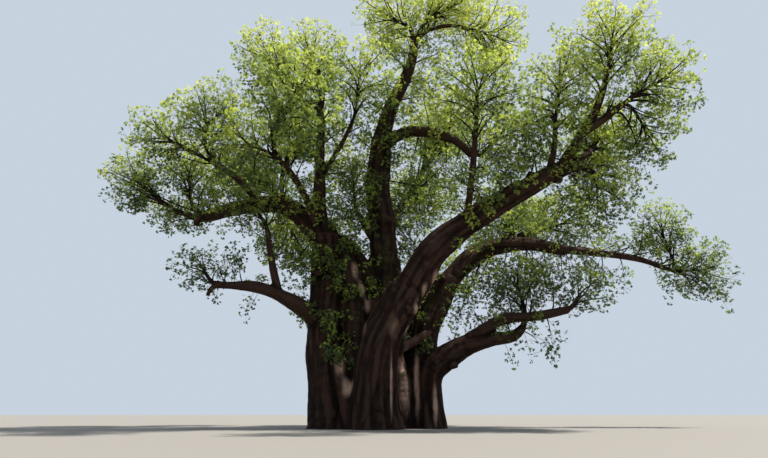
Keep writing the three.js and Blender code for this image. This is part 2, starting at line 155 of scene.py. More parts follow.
def line_through(path, count):
    """count points, evenly spaced, on the centripetal Catmull-Rom line through path."""
    p = np.array(path, float)
    p = np.vstack([2 * p[0] - p[1], p, 2 * p[-1] - p[-2]])
    steps = np.linspace(0, 1, STEPS_PER_SPAN, endpoint=False)[:, None]
    pieces = []
    for p0, p1, p2, p3 in zip(p, p[1:], p[2:], p[3:]):
        d0, d1, d2 = (np.linalg.norm(b - a) ** 0.5 for a, b in ((p0, p1), (p1, p2), (p2, p3)))
        lead = ((p1 - p0) / d0 - (p2 - p0) / (d0 + d1) + (p2 - p1) / d1) * d1
        trail = ((p2 - p1) / d1 - (p3 - p1) / (d1 + d2) + (p3 - p2) / d2) * d1
        pieces.append(p1 + lead * steps + (3 * (p2 - p1) - 2 * lead - trail) * steps ** 2
                      + (2 * (p1 - p2) + lead + trail) * steps ** 3)
    return evenly(np.vstack([*pieces, p[-2]]), count)


def evenly(points, count):
    """The same line as points, with count points at even distances."""
    length = np.concatenate([[0], np.cumsum(np.linalg.norm(np.diff(points, axis=0), axis=1))])
    wanted = np.linspace(0, length[-1], count)
    return np.stack([np.interp(wanted, length, points[:, axis]) for axis in range(3)], axis=1)


def unit(vectors):
    """The same directions, one long."""
    vectors = np.asarray(vectors, float)
    return vectors / np.maximum(np.linalg.norm(vectors, axis=-1, keepdims=True), 1e-9)


def frames_along(points):
    """Tangents, normals and binormals, carried along a line with no twist."""
    tangents = unit(np.gradient(points, axis=0))
    normal = np.eye(3)[2 - np.argmin(np.abs(tangents[0][::-1]))]
    normal = np.cross(tangents[0], unit(np.cross(tangents[0], normal)))
    normals = []
    for tangent in tangents:
        normal = unit(normal - tangent * normal.dot(tangent))
        normals.append(normal)
    return tangents, np.array(normals), np.cross(tangents, normals)


print("a test line of", len(line_through([(0, 0, 0), (1, 0, 2), (0, 0, 4)], 9)), "points")

# %% [markdown]
# ## The limbs, in numbers
# These are the driving values of the solid model again, in metres. A stem of the trunk starts below the
# ground and is later cut off level with it. Its radius goes from the first value to the second, and the
# third is what it gains at the ground. A bough starts inside what carries it.

# %% List the stems of the trunk and the boughs
STEMS = {
    "left": ([(-2, -.2, -.4), (-2.4, -.1, 4), (-2.3, 0, 6.5), (-2.4, .3, 9.3)], .82, .72, .2),
    "left_back": ([(-1.5, 1.9, -.4), (-1.5, 1.8, 3), (-1.7, 1.5, 6), (-2.2, .9, 8.6)], 1, .6, .3),
    "leaning": ([(-.7, -.6, -.4), (-.8, -.3, 3), (-.95, 0, 6), (-1.7, .3, 8.8)], .66, .5, .2),
    "crossing": ([(.5, 1.1, 5.2), (.1, 1.1, 6.6), (-.8, .8, 8.1), (-1.8, .5, 9.1)], .6, .4, 0),
    "front": ([(.1, -1.2, -.4), (.05, -1.3, 1.7), (.4, -1.3, 3.9), (1.6, -1.35, 6.2)], .98, .88, .3),
    "centre": ([(.5, 1.4, -.4), (.55, 1.5, 3), (.55, 1.5, 6), (.5, 1.4, 8.4)], 1.3, .8, .3),
    "right": ([(2.05, .8, -.4), (2.15, .8, 1.7), (2.6, 1, 4.5), (3.9, 1.5, 7.3)], .8, .6, .25),
    "right_front": ([(2.75, .3, -.4), (2.7, .3, 1.4), (2.75, .3, 2.4), (3.25, .2, 3.15)], .5, .62, .2),
    "right_back": ([(1.9, 2.5, -.4), (2, 2.4, 2.5), (2.2, 2.4, 5), (2.7, 2.5, 6.6)], .95, .5, .3),
    "bridge": ([(.7, -1, 3.2), (1.7, -.6, 3.8), (2.6, .2, 4.35)], .24, .22, 0),
    "core": ([(.1, .6, -.4), (.15, .6, 2), (.2, .7, 4.2), (.3, .9, 5.8)], 1.75, .9, .2),
}
BOUGHS = {
    "left_main": ([(-2.5, .3, 8.9), (-3.7, .6, 10.4), (-5, .8, 11.2), (-6.8, 1, 11.2), (-9.2, 1.3, 10.65)],
                  .6, .3),
    "left_rising": ([(-6, .95, 11.2), (-7.2, .5, 12.5), (-8.6, 0, 13.4)], .22, .17),
    "left_front": ([(-2.8, .2, 9.3), (-3.4, -.3, 11), (-4.1, -1.1, 12.1), (-4.8, -2.2, 12.7)], .22, .15),
    "upright": ([(-2.5, .4, 8.9), (-2.85, .45, 11), (-2.9, .3, 13.4), (-2.85, 0, 15.8)], .42, .19),
    "upright_fork": ([(-2.85, .35, 12.6), (-2, .2, 14), (-1.3, -.4, 15.1)], .17, .12),
    "centre": ([(.5, 1.4, 7.8), (.45, 1.3, 10.2), (.2, 1.2, 12.2), (.35, 1.1, 15.2)], .74, .58),
    "top": ([(.25, 1.1, 14.7), (.85, 1, 16.9), (2, .8, 19.6), (2.3, .6, 21.5)], .5, .22),
    "top_side": ([(2.2, .65, 20.9), (3, .5, 21.7), (4.2, .4, 22), (5.2, .3, 21.8)], .15, .11),
    "centre_side": ([(.4, 1.1, 14.7), (1.3, .9, 15.3), (2.3, .6, 15.4), (4.2, 0, 14.6), (5.1, -.3, 13.6)],
                    .36, .2),
    "right_main": ([(1.4, -1.33, 5.7), (2.8, -1.5, 8), (4.35, -1.6, 9.3), (8.3, -2, 11.6),
                    (10.2, -1.9, 12.5)], .84, .36),
    "right_spur": ([(8.4, -2, 11.6), (8.8, -2.3, 13), (8.9, -2.6, 14.4)], .17, .13),
    "right_rising": ([(9, -2.1, 11.9), (10, -2.7, 13.5), (10.8, -2.8, 14.7), (11.4, -2.9, 16.2)], .28, .17),
    "right_outer": ([(10, -2.7, 13.5), (11.3, -3, 14.4), (12.1, -3.2, 15)], .2, .17),
    "far_right_inner": ([(3.7, 1.4, 6.9), (5, 1.9, 8.6), (6.5, 2.2, 9.3), (8.5, 2.5, 9.5), (10.5, 2.8, 9.25)],
                        .55, .3),
    "far_right_outer": ([(10.2, 2.75, 9.3), (12.5, 3, 9.15), (14.6, 3, 8.8), (16.2, 3, 8.2)], .26, .13),
    "low_right": ([(3, .25, 2.9), (4.2, .1, 3.7), (5.5, 0, 4.05), (6.8, .25, 4.3), (7.4, .6, 4.8)], .66, .2),
    "low_right_fork": ([(4.6, 0, 4.1), (6.2, -.4, 4.95), (7.8, -.65, 5.1), (9.2, -.9, 5.35)], .34, .18),
    "low_left": ([(-2.4, -.2, 4.6), (-3.6, -.7, 5.6), (-5.3, -1.05, 6.35), (-7.4, -1.4, 6.45)], .46, .16),
    "low_left_fork": ([(-4.5, -.9, 6.1), (-4.95, -.8, 7.7), (-5.3, -.6, 9.4)], .24, .14),
    "back_left": ([(-2.2, .8, 8.4), (-3.3, 2.6, 10.2), (-4.7, 4.2, 12), (-5.8, 5, 13.4)], .44, .27),
    "back_right": ([(2.6, 2.5, 6.2), (4.2, 4, 7.8), (6.2, 5.4, 9.4), (8, 6, 10.6)], .45, .22),
    "inner_back": ([(.2, 1.5, 9), (-.4, 2.3, 10.3), (-1, 3, 11.5)], .28, .18),
    "back_centre": ([(.5, 1.5, 9.2), (1.2, 3.8, 11.6), (2.1, 5.6, 13.6)], .38, .22),
    "front_right": ([(4.4, -1.75, 9.3), (4.5, -3.4, 10.7), (4.5, -5.1, 12.1)], .19, .14),
}
print(len(STEMS), "stems and", len(BOUGHS), "boughs")

# %% [markdown]
# ## The masses of foliage, in numbers
# Each mass has a space of its own: an ellipsoid round a middle, with flat walls towards its neighbours.
# The table gives the bough that bears it, the middle and the three half widths. Nothing that grows in a
# mass leaves its space, so the crown keeps the outline of the solid model and the openings between masses.

# %% List the masses and work out their spaces
MASSES = {
    "left_tip": ("left_main", (-12.9, .6, 12.6), (1.8, 2.2, 2)),
    "left_belly": ("left_main", (-10.3, 1.4, 13.6), (2.3, 2.4, 1.9)),
    "left_skirt": ("left_main", (-11, 2.6, 11.4), (2.3, 2.2, 1.3)),
    "left_shoulder": ("left_rising", (-10.9, -1, 14.3), (2, 2.5, 1.6)),
    "left_brow": ("left_rising", (-8.3, -2.4, 14.6), (2.3, 2.6, 1.7)),
    "left_inner": ("left_front", (-5.8, -3.6, 12.6), (2.2, 2.4, 2)),
    "left_back": ("back_left", (-8.6, 6, 15.4), (2.8, 3, 2.2)),
    "left_under": ("low_left_fork", (-6.1, .2, 10.7), (1.8, 2.1, .9)),
    "upper_left_far": ("upright", (-5.6, -1.4, 18.7), (2, 2.6, 1.8)),
    "upper_left_top": ("upright", (-3.4, -.8, 19.2), (2.1, 2.6, 1.9)),
    "upper_left_back": ("back_left", (-4.6, 5, 17.9), (2.8, 3, 2.2)),
    "upper_middle": ("upright_fork", (-.7, -2.6, 17), (2.1, 2.4, 1.8)),
    "top_left": ("top", (.8, .3, 22.6), (2.2, 2.8, 2.1)),
    "top_middle": ("top", (4.7, 1.2, 24.2), (2.6, 2.8, 1.7)),
    "top_right": ("top_side", (6.7, .4, 21.4), (2.2, 2.6, 2.3)),
    "front_left": ("left_front", (-3.3, -6.6, 13.7), (2.3, 2.5, 1.8)),
    "front_right": ("front_right", (4.4, -7, 13.7), (2.5, 2.6, 1.8)),
    "middle_right": ("centre_side", (6.3, -1.8, 13.9), (2.3, 2.4, 2.2)),
    "back_upper_right": ("back_centre", (4.5, 6, 18.6), (3, 3, 2.4)),
    "right_crown_left": ("right_spur", (9, -3.4, 15.8), (2, 2.6, 2.3)),
    "right_crown_top": ("right_rising", (12, -3.2, 18.8), (2.2, 2.6, 2)),
    "right_crown_far": ("right_outer", (13.8, -3.6, 16), (1.9, 2.4, 2.1)),
    "right_crown_low": ("right_outer", (13.3, -2.6, 13.8), (1.9, 2.4, 1.9)),
    "right_crown_mid": ("right_main", (12.2, .8, 15.2), (2.2, 2.4, 2.1)),
    "right_droop": ("right_main", (11.6, -.6, 11.4), (1.9, 2.4, 2.2)),
    "right_hang": ("back_right", (11.3, 4.4, 11.4), (2.3, 2.4, 2.3)),
    "back_right": ("back_right", (8.8, 8.4, 13.4), (3, 2.8, 2.4)),
    "far_right_top": ("far_right_outer", (16.4, 3.8, 11), (1.6, 2.2, 1.7)),
    "far_right_tip": ("far_right_outer", (18, 3, 8.2), (1.9, 2, 1.9)),
    "low_right_out": ("low_right_fork", (10, -.8, 6.3), (1.6, 1.9, 1.3)),
    "low_right_in": ("low_right", (7.3, 1.1, 7.2), (2.4, 2.3, 1.6)),
    "inner": ("inner_back", (-1.3, 3.4, 13.6), (2.1, 2, 3)),
    "back_centre": ("back_centre", (3, 8.8, 14.4), (3, 2.8, 2.4)),
    "back_left": ("back_left", (-5.2, 8.2, 11.4), (3, 2.6, 2.1)),
    "low_left_tip": ("low_left", (-8.1, -1.5, 7.3), (1.6, 1.8, 1.2)),
}
SPACE_GAP = 0.02


def space_of(name):
    """Two functions of a mass: which points lie in its space, and how far it reaches along a direction."""
    _, centre, half = MASSES[name]
    centre, half = np.array(centre), np.array(half)
    normals, distances = [], []
    for other, (_, their_centre, their_half) in MASSES.items():
        if other != name:
            away = np.array(their_centre) - centre
            normal = unit(away)
            mine, theirs = np.linalg.norm(half * normal), np.linalg.norm(np.array(their_half) * normal)
            normals.append(normal)
            distances.append(np.linalg.norm(away) * mine / (mine + theirs) - SPACE_GAP)
    normals, distances = np.array(normals), np.array(distances)

    def holds(points):
        """Whether each point lies inside the ellipsoid and on this side of every wall."""
        away = np.asarray(points) - centre
        return (np.linalg.norm(away / half, axis=-1) < 1) & (away @ normals.T < distances).all(-1)

    def reach(direction):
        """The way from the middle to the edge of the space."""
        facing = normals @ direction
        to_walls = distances[facing > 0] / facing[facing > 0]
        return np.append(to_walls, 1 / np.linalg.norm(direction / half)).min()

    return holds, reach


SPACES = {name: space_of(name) for name in MASSES}
_, reach_of_tip = SPACES["left_tip"]
print(len(MASSES), "masses; the first reaches", round(reach_of_tip(np.array((-1, 0, 0))), 2), "m left")

# %% [markdown]
# ## The stem of each mass
# Where a bough ends, one to three slimmer stems run on from its tip, each to the heart of a mass. Their
# line is a Bezier curve: it leaves in the bough's own direction and arrives heading straight in.

# %% Work out the stems that run on from the boughs
HEART_RADIUS = 0.065
STEM_SHARE = (0.8, 0.55, 0.42)
STEM_OFFSET = 0.5
STEM_BEND = 0.3
STEM_POINTS = 25
BOUGH_POINTS = 33


def bezier(p0, p1, p2, p3, count):
    """count points on a cubic Bezier curve."""
    t = np.linspace(0, 1, count)[:, None]
    return p0 * (1 - t) ** 3 + 3 * p1 * t * (1 - t) ** 2 + 3 * p2 * t ** 2 * (1 - t) + p3 * t ** 3


def mass_stem(name):
    """The line of the stem of a mass, and its radius where it leaves the bough."""
    on, centre, _ = MASSES[name]
    path, _, thin = BOUGHS[on]
    line = line_through(path, BOUGH_POINTS)
    tip, forward = line[-1], unit(line[-1] - line[-2])
    beside = {}
    for other, (carrier, middle, _) in MASSES.items():
        if carrier == on:
            away = np.array(middle) - tip
            beside[other] = unit(away - forward * away.dot(forward))
    sideways = unit(beside[name] - sum(beside.values()) / len(beside)) if len(beside) > 1 else 0
    root, heart = tip + sideways * thin * STEM_OFFSET, np.array(centre)
    bend = np.linalg.norm(heart - root) * STEM_BEND
    line = bezier(root - forward * thin, root + forward * bend, heart - unit(heart - root) * bend, heart,
                  STEM_POINTS)
    return evenly(line, STEM_POINTS), thin * STEM_SHARE[len(beside) - 1]


MASS_STEMS = {name: mass_stem(name) for name in MASSES}
print("stems of masses leave at radii from", min(r for _, r in MASS_STEMS.values()), "m")

# %% [markdown]
# ## Trunk and boughs
# Every limb starts as a cylinder from `create_cone`, cut into rings and bent along its line. The folds of
# the bark are put into its radius here, because here we know which way round and how far along the limb
# a point is. Wide folds are few and deep, and finer ribs wander between them. The limbs overlap freely,
# because a later step melts them together.

# %% Bend a bar along each limb
RING_SPACING = 0.11
FOLD_DEPTH, FOLD_TWIST = 0.07, 2
FLARE_HEIGHT = 1.1
RIB_DEPTH = 0.045
RIBS_PER_METRE, SIDES_PER_METRE = 11, 56


def add_bar(bm, line, radius_at, sides):
    """Adds a cylinder bent along line. radius_at(along, turn) gives its radius in metres."""
    steps = len(line) - 1
    bar = bmesh.new()
    bmesh.ops.create_cone(bar, cap_ends=True, segments=sides, radius1=1, radius2=1, depth=1)
    upright = [e for e in bar.edges if abs(e.verts[0].co.z - e.verts[1].co.z) > 0.5]
    bmesh.ops.subdivide_edges(bar, edges=upright, cuts=steps - 1, use_grid_fill=True)
    at = np.array([v.co for v in bar.verts])
    turn, ring = np.arctan2(at[:, 1], at[:, 0]), np.rint((at[:, 2] + 0.5) * steps).astype(int)
    radius = radius_at(ring / steps, turn)
    _, normals, binormals = frames_along(line)
    places = (line[ring] + normals[ring] * (radius * np.cos(turn))[:, None]
              - binormals[ring] * (radius * np.sin(turn))[:, None])
    for vertex, place in zip(bar.verts, places):
        vertex.co = place
    bmesh.ops.recalc_face_normals(bar, faces=bar.faces)
    loose = bpy.data.meshes.new("bar")
    bar.to_mesh(loose)
    bar.free()
    bm.from_mesh(loose)
    bpy.data.meshes.remove(loose)


def ribs(along, turn, radius, length, seed):
    """Ribs that run up a limb and wander a little, as a share of its radius. Slim limbs have fewer."""
    count = max(3, round(radius * RIBS_PER_METRE))
    wander = np.sin(along * length * 0.9 + seed) + 0.5 * np.sin(along * length * 2.3 + 2 * seed)
    wide = np.cos(count * turn + 1.6 * wander + seed)
    fine = np.cos((2 * count + 1) * turn - 1.1 * wander + 3 * seed)
    strength = 0.7 + 0.3 * np.sin(along * length * 1.7 + 5 * seed + turn)
    return RIB_DEPTH * strength * (wide - 0.35 * np.abs(wide) + 0.4 * fine)


def add_limb(bm, line, thick, thin, seed, flare=0, folds=0):
    """One limb: tapered, ribbed, and for a stem of the trunk folded and flared at the ground."""
    length = np.linalg.norm(np.diff(line, axis=0), axis=1).sum()
    line = evenly(line, max(6, round(length / RING_SPACING)))

    def radius_at(along, turn):
        """The radius in metres, from how far along the limb and which way round it a point is."""
        height = np.interp(along, np.linspace(0, 1, len(line)), line[:, 2])
        even = thick + (thin - thick) * along + flare * np.exp(-np.maximum(height, 0) / FLARE_HEIGHT)
        fold = FOLD_DEPTH * np.cos(folds * turn + seed + FOLD_TWIST * along) if folds else 0
        return even * (1 + fold + ribs(along, turn, thick, length, seed))

    add_bar(bm, line, radius_at, sides=max(12, round(thick * SIDES_PER_METRE)))


print("the bough centre has", round(BOUGHS["centre"][1] * SIDES_PER_METRE), "sides")

# %% [markdown]
# ## Small forms on the trunk
# A baobab's trunk is never plain. Here a buttress, whose pale colour is painted sunlight, runs from the left
# stem to the foot, toes spread at the ground, a stub is left where a limb was shed under the low right bough,
# and knots swell where shoots died back. They are short limbs of their own, so the melting joins them in the
# same way. Each stem also runs on a little beyond its end as a blunt cone, so that it passes into its boughs
# without a step.

# %% Make all the limbs in one mesh
SMALL_FORMS = {
    "buttress": ([(-1.95, -.3, 4.3), (-1.72, -.62, 3.1), (-1.4, -.88, 2), (-1.02, -1.1, .8),
                  (-.8, -1.2, -.4)], .3, .42),
    "inner_root": ([(-1.2, -.4, 1.7), (-1.3, -.75, .8), (-1.5, -1.05, -.3)], .2, .3),
    "shed_limb": ([(3.72, .1, 3.35), (3.76, -.1, 3.0), (3.82, -.22, 2.72)], .27, .2),
    "right_toe": ([(2.5, .1, 1.5), (2.5, -.1, .6), (2.55, -.4, -.3)], .25, .3),
    "front_toe": ([(.3, -1.5, 1.6), (.2, -1.9, .6), (.1, -2.3, -.3)], .3, .34),
    "left_toe": ([(-2.3, -.3, 1.5), (-2.5, -.45, .6), (-2.85, -.7, -.3)], .3, .3),
    "back_toe": ([(1.5, 2.5, 1.6), (1.4, 2.9, .6), (1.3, 3.4, -.3)], .35, .4),
    "shed_spur": ([(-9.1, 1.2, 10.7), (-9.35, 1, 10.35), (-9.4, .95, 10.1)], .2, .15),
    "fork_knot": ([(1.7, -1.9, 5.2), (1.8, -2.1, 5.35)], .35, .3),
    "left_knot": ([(-2.6, -.65, 7.2), (-2.7, -.85, 7.35)], .33, .28),
    "rough_knot": ([(5.9, -2.1, 10.5), (6, -2.4, 10.55)], .3, .26),
    "upper_knot": ([(7.6, -2, 11.6), (7.7, -2.1, 11.9)], .26, .2),
    "under_knot": ([(8.9, -2, 11.6), (9, -2.1, 11.35)], .28, .2),
    "knuckle": ([(-.25, -.1, 5.9), (0, -.2, 5.55), (.05, -.35, 5.1)], .26, .2),
    "hooked_tip": ([(-7.1, -1.4, 6.5), (-7.55, -1.45, 6.3), (-7.75, -1.5, 5.9)], .15, .1),
}
LIMB_POINTS = 120
BLUNT_END = (-0.5, 0, 0.6, 1.2)
MELTED_SHARE, SLIMMEST_MELTED = 0.6, 0.08


def all_limbs(bm):
    """Every limb, with a blunt end on each stem, and the thick part of the stems of the masses."""
    for index, (path, thick, thin, flare) in enumerate(STEMS.values()):
        line = line_through(path, LIMB_POINTS)
        add_limb(bm, line, thick, thin, index, flare, folds=3 + index % 2)
        onwards = unit(line[-1] - line[-2]) * thin
        add_limb(bm, line_through([line[-1] + onwards * share for share in BLUNT_END], 20),
                 thin * 1.02, thin * 0.45, index + 90)
    for index, (path, thick, thin) in enumerate([*BOUGHS.values(), *SMALL_FORMS.values()]):
        add_limb(bm, line_through(path, LIMB_POINTS), thick, thin, index + 20)
    for index, (line, thick) in enumerate(MASS_STEMS.values()):
        thin = thick + (HEART_RADIUS - thick) * MELTED_SHARE
        add_limb(bm, line[: int(STEM_POINTS * MELTED_SHARE)], thick, max(thin, SLIMMEST_MELTED), index + 60)


wood = piece_from(all_limbs, "wood")
print("limbs before they are melted together:", len(wood.data.vertices), "vertices")

# %% [markdown]
# ## Melting the limbs together
# A voxel Remesh fills everything inside the limbs and wraps one even skin round it, with soft creases
# where two stems have grown together. A Boolean union would leave razor-sharp creases and long thin
# faces, and these would not take relief. A little Smooth takes away the steps of the voxels.


# %% Melt and soften
def settle(piece):
    """Makes what the modifiers of a piece show its own mesh."""
    shown = piece.evaluated_get(bpy.context.evaluated_depsgraph_get())
    rough, piece.data = piece.data, bpy.data.meshes.new_from_object(shown)
    piece.modifiers.clear()
    bpy.data.meshes.remove(rough)


VOXEL = 0.07
melt = wood.modifiers.new("melt", "REMESH")
melt.mode = "VOXEL"
melt.voxel_size = VOXEL
soften = wood.modifiers.new("soften", "SMOOTH")
soften.factor = 0.5
soften.iterations = 3
settle(wood)
print("one skin of", len(wood.data.polygons), "faces")

# %% [markdown]
# ## Which way the bark runs
# Bark splits and folds along its limb, and a limb may point anywhere. So every point of the skin is told
# which limb it is on, how far along, and where round it: the point unrolled into the limb's own frame.
# Patterns that are stretched in this frame follow each limb, where plain coordinates would stripe the
# sideways limbs across. It is kept on the mesh as an attribute, which a material can read by its name.
# The pattern is also shifted from limb to limb, so that no two have the same cracks.

# %% Unroll every point of the skin
SHIFT_PER_LIMB = (3.7, 5.3, 11.1)
POINTS_AT_ONCE = 8000
SAMPLES_PER_LIMB = 60


def limb_samples():
    """Points on all limbs' lines: place, radius, tangent, normal, binormal, way along, and the limb."""
    rows = []
    limbs = [(line_through(path, SAMPLES_PER_LIMB), thick, thin) for path, thick, thin, *_ in
             [*STEMS.values(), *BOUGHS.values(), *SMALL_FORMS.values()]]
    limbs += [(line, thick, HEART_RADIUS) for line, thick in MASS_STEMS.values()]
    for number, (line, thick, thin) in enumerate(limbs):
        along = np.linspace(0, 1, len(line))[:, None]
        gone = along * np.linalg.norm(np.diff(line, axis=0), axis=1).sum()
        tangents, normals, binormals = frames_along(line)
        rows.append(np.hstack([line, thick + (thin - thick) * along, tangents, normals, binormals,
                               gone, np.full_like(gone, number)]))
    return np.vstack(rows)


def points_of(mesh):
    """The places of all points of a mesh, as an array."""
    at = np.empty(len(mesh.vertices) * 3, np.float32)
    mesh.vertices.foreach_get("co", at)
    return at.reshape(-1, 3).astype(float)


def nearest_limbs(points, samples):
    """For each point, the sample whose limb's surface is closest."""
    found = []
    for some in np.array_split(points, max(1, len(points) // POINTS_AT_ONCE)):
        apart = (some ** 2).sum(1)[:, None] - 2 * some @ samples[:, :3].T + (samples[:, :3] ** 2).sum(1)
        found.append((np.sqrt(np.maximum(apart, 0)) - samples[:, 3]).argmin(1))
    return samples[np.concatenate(found)]


skin = points_of(wood.data)
closest = nearest_limbs(skin, limb_samples())
on_line, limb_radius, tangent, normal, binormal, gone, limb = np.split(closest, (3, 4, 7, 10, 13, 14), axis=1)
offset = skin - on_line
unrolled = np.stack([(offset * normal).sum(1), (offset * binormal).sum(1),
                     gone[:, 0] + (offset * tangent).sum(1)], axis=1)
unrolled += limb * np.array(SHIFT_PER_LIMB)
print("unrolled", len(unrolled), "points")

# %% [markdown]
# ## Relief of the bark
# Old bark swells into lumps, is pleated along the limb and wrinkled across it, and heals over wounds in
# knobbly blocks. Each is a noise at its own scale that moves the skin in or out, less so on slim limbs.
# In the recess beside the front stem old scars climb the trunk in a row, like rungs, made by a cosine of
# the height. A Displace modifier could do one such noise, but here each follows the limb or keeps to a
# place. A place is a middle and three half widths.


# %% Move the skin in and out
def noise_at(points, size, basis="PERLIN_ORIGINAL"):
    """A noise whose bumps are about size apart, from -1 to 1, at every point."""
    return np.array([noise.noise(Vector(p), noise_basis=basis) for p in points / np.asarray(size)])


def near(points, places):
    """1 in the middle of any of the places, falling softly to about an eighth at its half widths."""
    masks = [np.exp(-2 * (((points - centre) / half) ** 2).sum(1)) for centre, half in places]
    return np.clip(sum(masks), 0, 1)


SCARS = [((1.45, -.4, 2.3), (.55, .9, 1.9)), ((1.75, -.6, 4.6), (.5, .8, .8)),
         ((.9, -2.1, 4.4), (.35, .6, .7)), ((-.9, 2.9, 2.5), (.6, .8, 1.5)), ((2.9, 3.1, 1.8), (.7, .8, 1.4))]
SWELLINGS = [((.55, .9, 10.4), (1.1, 1.1, .3)), ((.15, 1.2, 12.9), (1, 1, .35)),
             ((3, -1.6, 8.1), (.8, 1, .5))]
RUNGS = [((1.45, -.5, 2), (.24, .8, .95))]
RUNG_EVERY = 0.24
LUMPS, PLEATS, WRINKLES, BLOCKS, SWELLS, RUNG_DEPTH = 0.09, 0.034, 0.015, 0.16, 0.13, 0.11
LUMP_SIZE, PLEAT_SIZE = 1.3, (0.18, 0.18, 2.8)
WRINKLE_SIZE, BLOCK_SIZE = (0.8, 0.8, 0.24), (0.34, 0.34, 0.42)
FULL_DEPTH_RADIUS, LEAST_DEPTH = 0.55, 0.15

depth = np.clip(limb_radius[:, 0] / FULL_DEPTH_RADIUS, LEAST_DEPTH, 1.0)
relief = (LUMPS * noise_at(skin, LUMP_SIZE) + PLEATS * noise_at(unrolled, PLEAT_SIZE)
          + WRINKLES * noise_at(unrolled, WRINKLE_SIZE))
scarred = near(skin, SCARS)
relief += SWELLS * near(skin, SWELLINGS)
relief = depth * (relief + BLOCKS * scarred * noise_at(skin, BLOCK_SIZE, "VORONOI_F1"))
up_and_down = np.cos(skin[:, 2] * 2 * math.pi / RUNG_EVERY)
between_rungs = near(skin, RUNGS) * np.clip(0.5 + 1.2 * up_and_down, 0, 1)
relief -= RUNG_DEPTH * between_rungs

outwards = np.empty(len(skin) * 3, np.float32)
wood.data.vertex_normals.foreach_get("vector", outwards)
skin += outwards.reshape(-1, 3) * relief[:, None]
wood.data.vertices.foreach_set("co", skin.astype(np.float32).ravel())
wood.data.update()
print("relief from", round(relief.min(), 3), "to", round(relief.max(), 3), "m")

# %% [markdown]
# ## Hollows, moss and painted sunlight as masks
# Hollows get painted shade and ridges a painted highlight. A point lies in a hollow if its neighbours stand
# further out than it does, which we find by averaging over the edges of the mesh. Moss grows in a few damp
# places. On the buttress and along some edges the bark is painted pale, as sunlight that falls through gaps
# in the crown. These masks ride on the mesh as attributes, so that the material is painted by them.

# %% Measure the hollows and keep the masks
TIMES_AVERAGED = 8
HOLLOW_RANGE = 0.05
ends = np.empty(len(wood.data.edges) * 2, np.int32)
wood.data.edges.foreach_get("vertices", ends)
ends = ends.reshape(-1, 2)
neighbours = np.bincount(ends.ravel(), minlength=len(skin))[:, None]


def averaged(values):
    """For each point of the wood, the mean of its neighbours' values."""
    total = np.zeros_like(values)
    for one, other in ((0, 1), (1, 0)):
        for column in range(values.shape[1]):
            total[:, column] += np.bincount(ends[:, one], values[ends[:, other], column], len(skin))
    return total / neighbours


smooth = skin
for _ in range(TIMES_AVERAGED):
    smooth = averaged(smooth)
wood.data.vertex_normals.foreach_get("vector", outwards)
sunk = ((smooth - skin) * outwards.reshape(-1, 3)).sum(1)
# The hollow mask: the bark material paints shade into hollows and a highlight onto ridges by it.
hollow = np.clip(0.5 + sunk / HOLLOW_RANGE, 0, 1)

MOSS = [((.6, .3, 8.2), (.7, 1.2, 1.7)), ((-.25, -1.1, 3.6), (.5, .8, 1.6)), ((-2.4, 1.6, 6), (.9, .9, 1.6)),
        ((1.2, 2.9, 4.5), (.9, .8, 2)), ((2.9, 1.2, 5.6), (.6, 1, 1.2))]
# Places where the bark is painted pale, as sunlight falling through the crown onto the trunk.
PAINTED_SUN_PATCHES = [((-1.43, .6, 5.4), (.3, .9, 1.2)), ((-1.5, -1.05, 3), (.3, .3, .7)),
        ((-1.15, -1.2, 1.8), (.3, .3, .6)), ((-.95, -.2, 7.4), (.22, .3, .6)),
        ((-.6, -.2, 6.5), (.2, .3, .6)), ((-.3, -.15, 5.7), (.22, .3, .45)),
        ((-.37, -.9, 4.2), (.14, .7, .8)), ((3.35, -1.25, 7.4), (.25, .4, .45)),
        ((2.9, -1.6, 6.7), (.22, .4, .5)), ((2.4, -1.9, 5.95), (.2, .35, .5)),
        ((2, -2.1, 5.2), (.18, .3, .5)), ((.82, -1.9, 2), (.07, .4, 1.6)), ((1.4, -.9, 4.5), (.35, .5, .5)),
        ((1.5, -.3, 2.2), (.3, .8, 1.8)), ((2.05, -.1, 2.2), (.14, .7, 1.9)), ((2.86, -.33, 1), (.12, .3, 1))]
mossy, painted_sun_patches = near(skin, MOSS), near(skin, PAINTED_SUN_PATCHES) * (1 - between_rungs)
scarred *= 1 - between_rungs


def keep(mesh, name, values):
    """Stores one number, or three, for each point of a mesh."""
    kind, field = ("FLOAT", "value") if values.ndim == 1 else ("FLOAT_VECTOR", "vector")
    mesh.attributes.new(name, kind, "POINT").data.foreach_set(field, values.astype(np.float32).ravel())


for name, values in (("unrolled", unrolled), ("hollow", hollow), ("mossy", mossy), ("scarred", scarred),
                     ("painted_sun_patches", painted_sun_patches)):
    keep(wood.data, name, values)
print("share of the skin in hollows:", round(float((hollow > 0.6).mean()), 2))

# %% [markdown]
# ## Cut at the ground, and in two
# `bisect_plane` cuts the skin flat at ground level, where the solid model ends too. A second cut parts the
# wood at the height where the stems turn into boughs, because one piece with this much relief would be
# too heavy. Both faces of that cut lie inside the wood, so the join doesn't show.

# %% Cut the wood
PARTING = 8.75


def wood_between(bottom, top, name):
    """A piece of the wood between two heights, closed where it is cut."""
    def cut(bm):
        bm.from_mesh(wood.data)
        for height, keep_above in ((bottom, True), (top, False)):
            if height is not None:
                bmesh.ops.bisect_plane(
                    bm, geom=[*bm.verts, *bm.edges, *bm.faces], dist=1e-5, plane_co=(0, 0, height),
                    plane_no=(0, 0, 1), clear_inner=keep_above, clear_outer=not keep_above)
                rim = [e for e in bm.edges if e.is_boundary]
                for face in bmesh.ops.holes_fill(bm, edges=rim, sides=0)["faces"]:
                    face.smooth = False
    return piece_from(cut, name)


def triangles(piece):
    """How many triangles a piece has, when each face is counted as the triangles that it is cut into."""
    return sum(len(face.vertices) - 2 for face in piece.data.polygons)


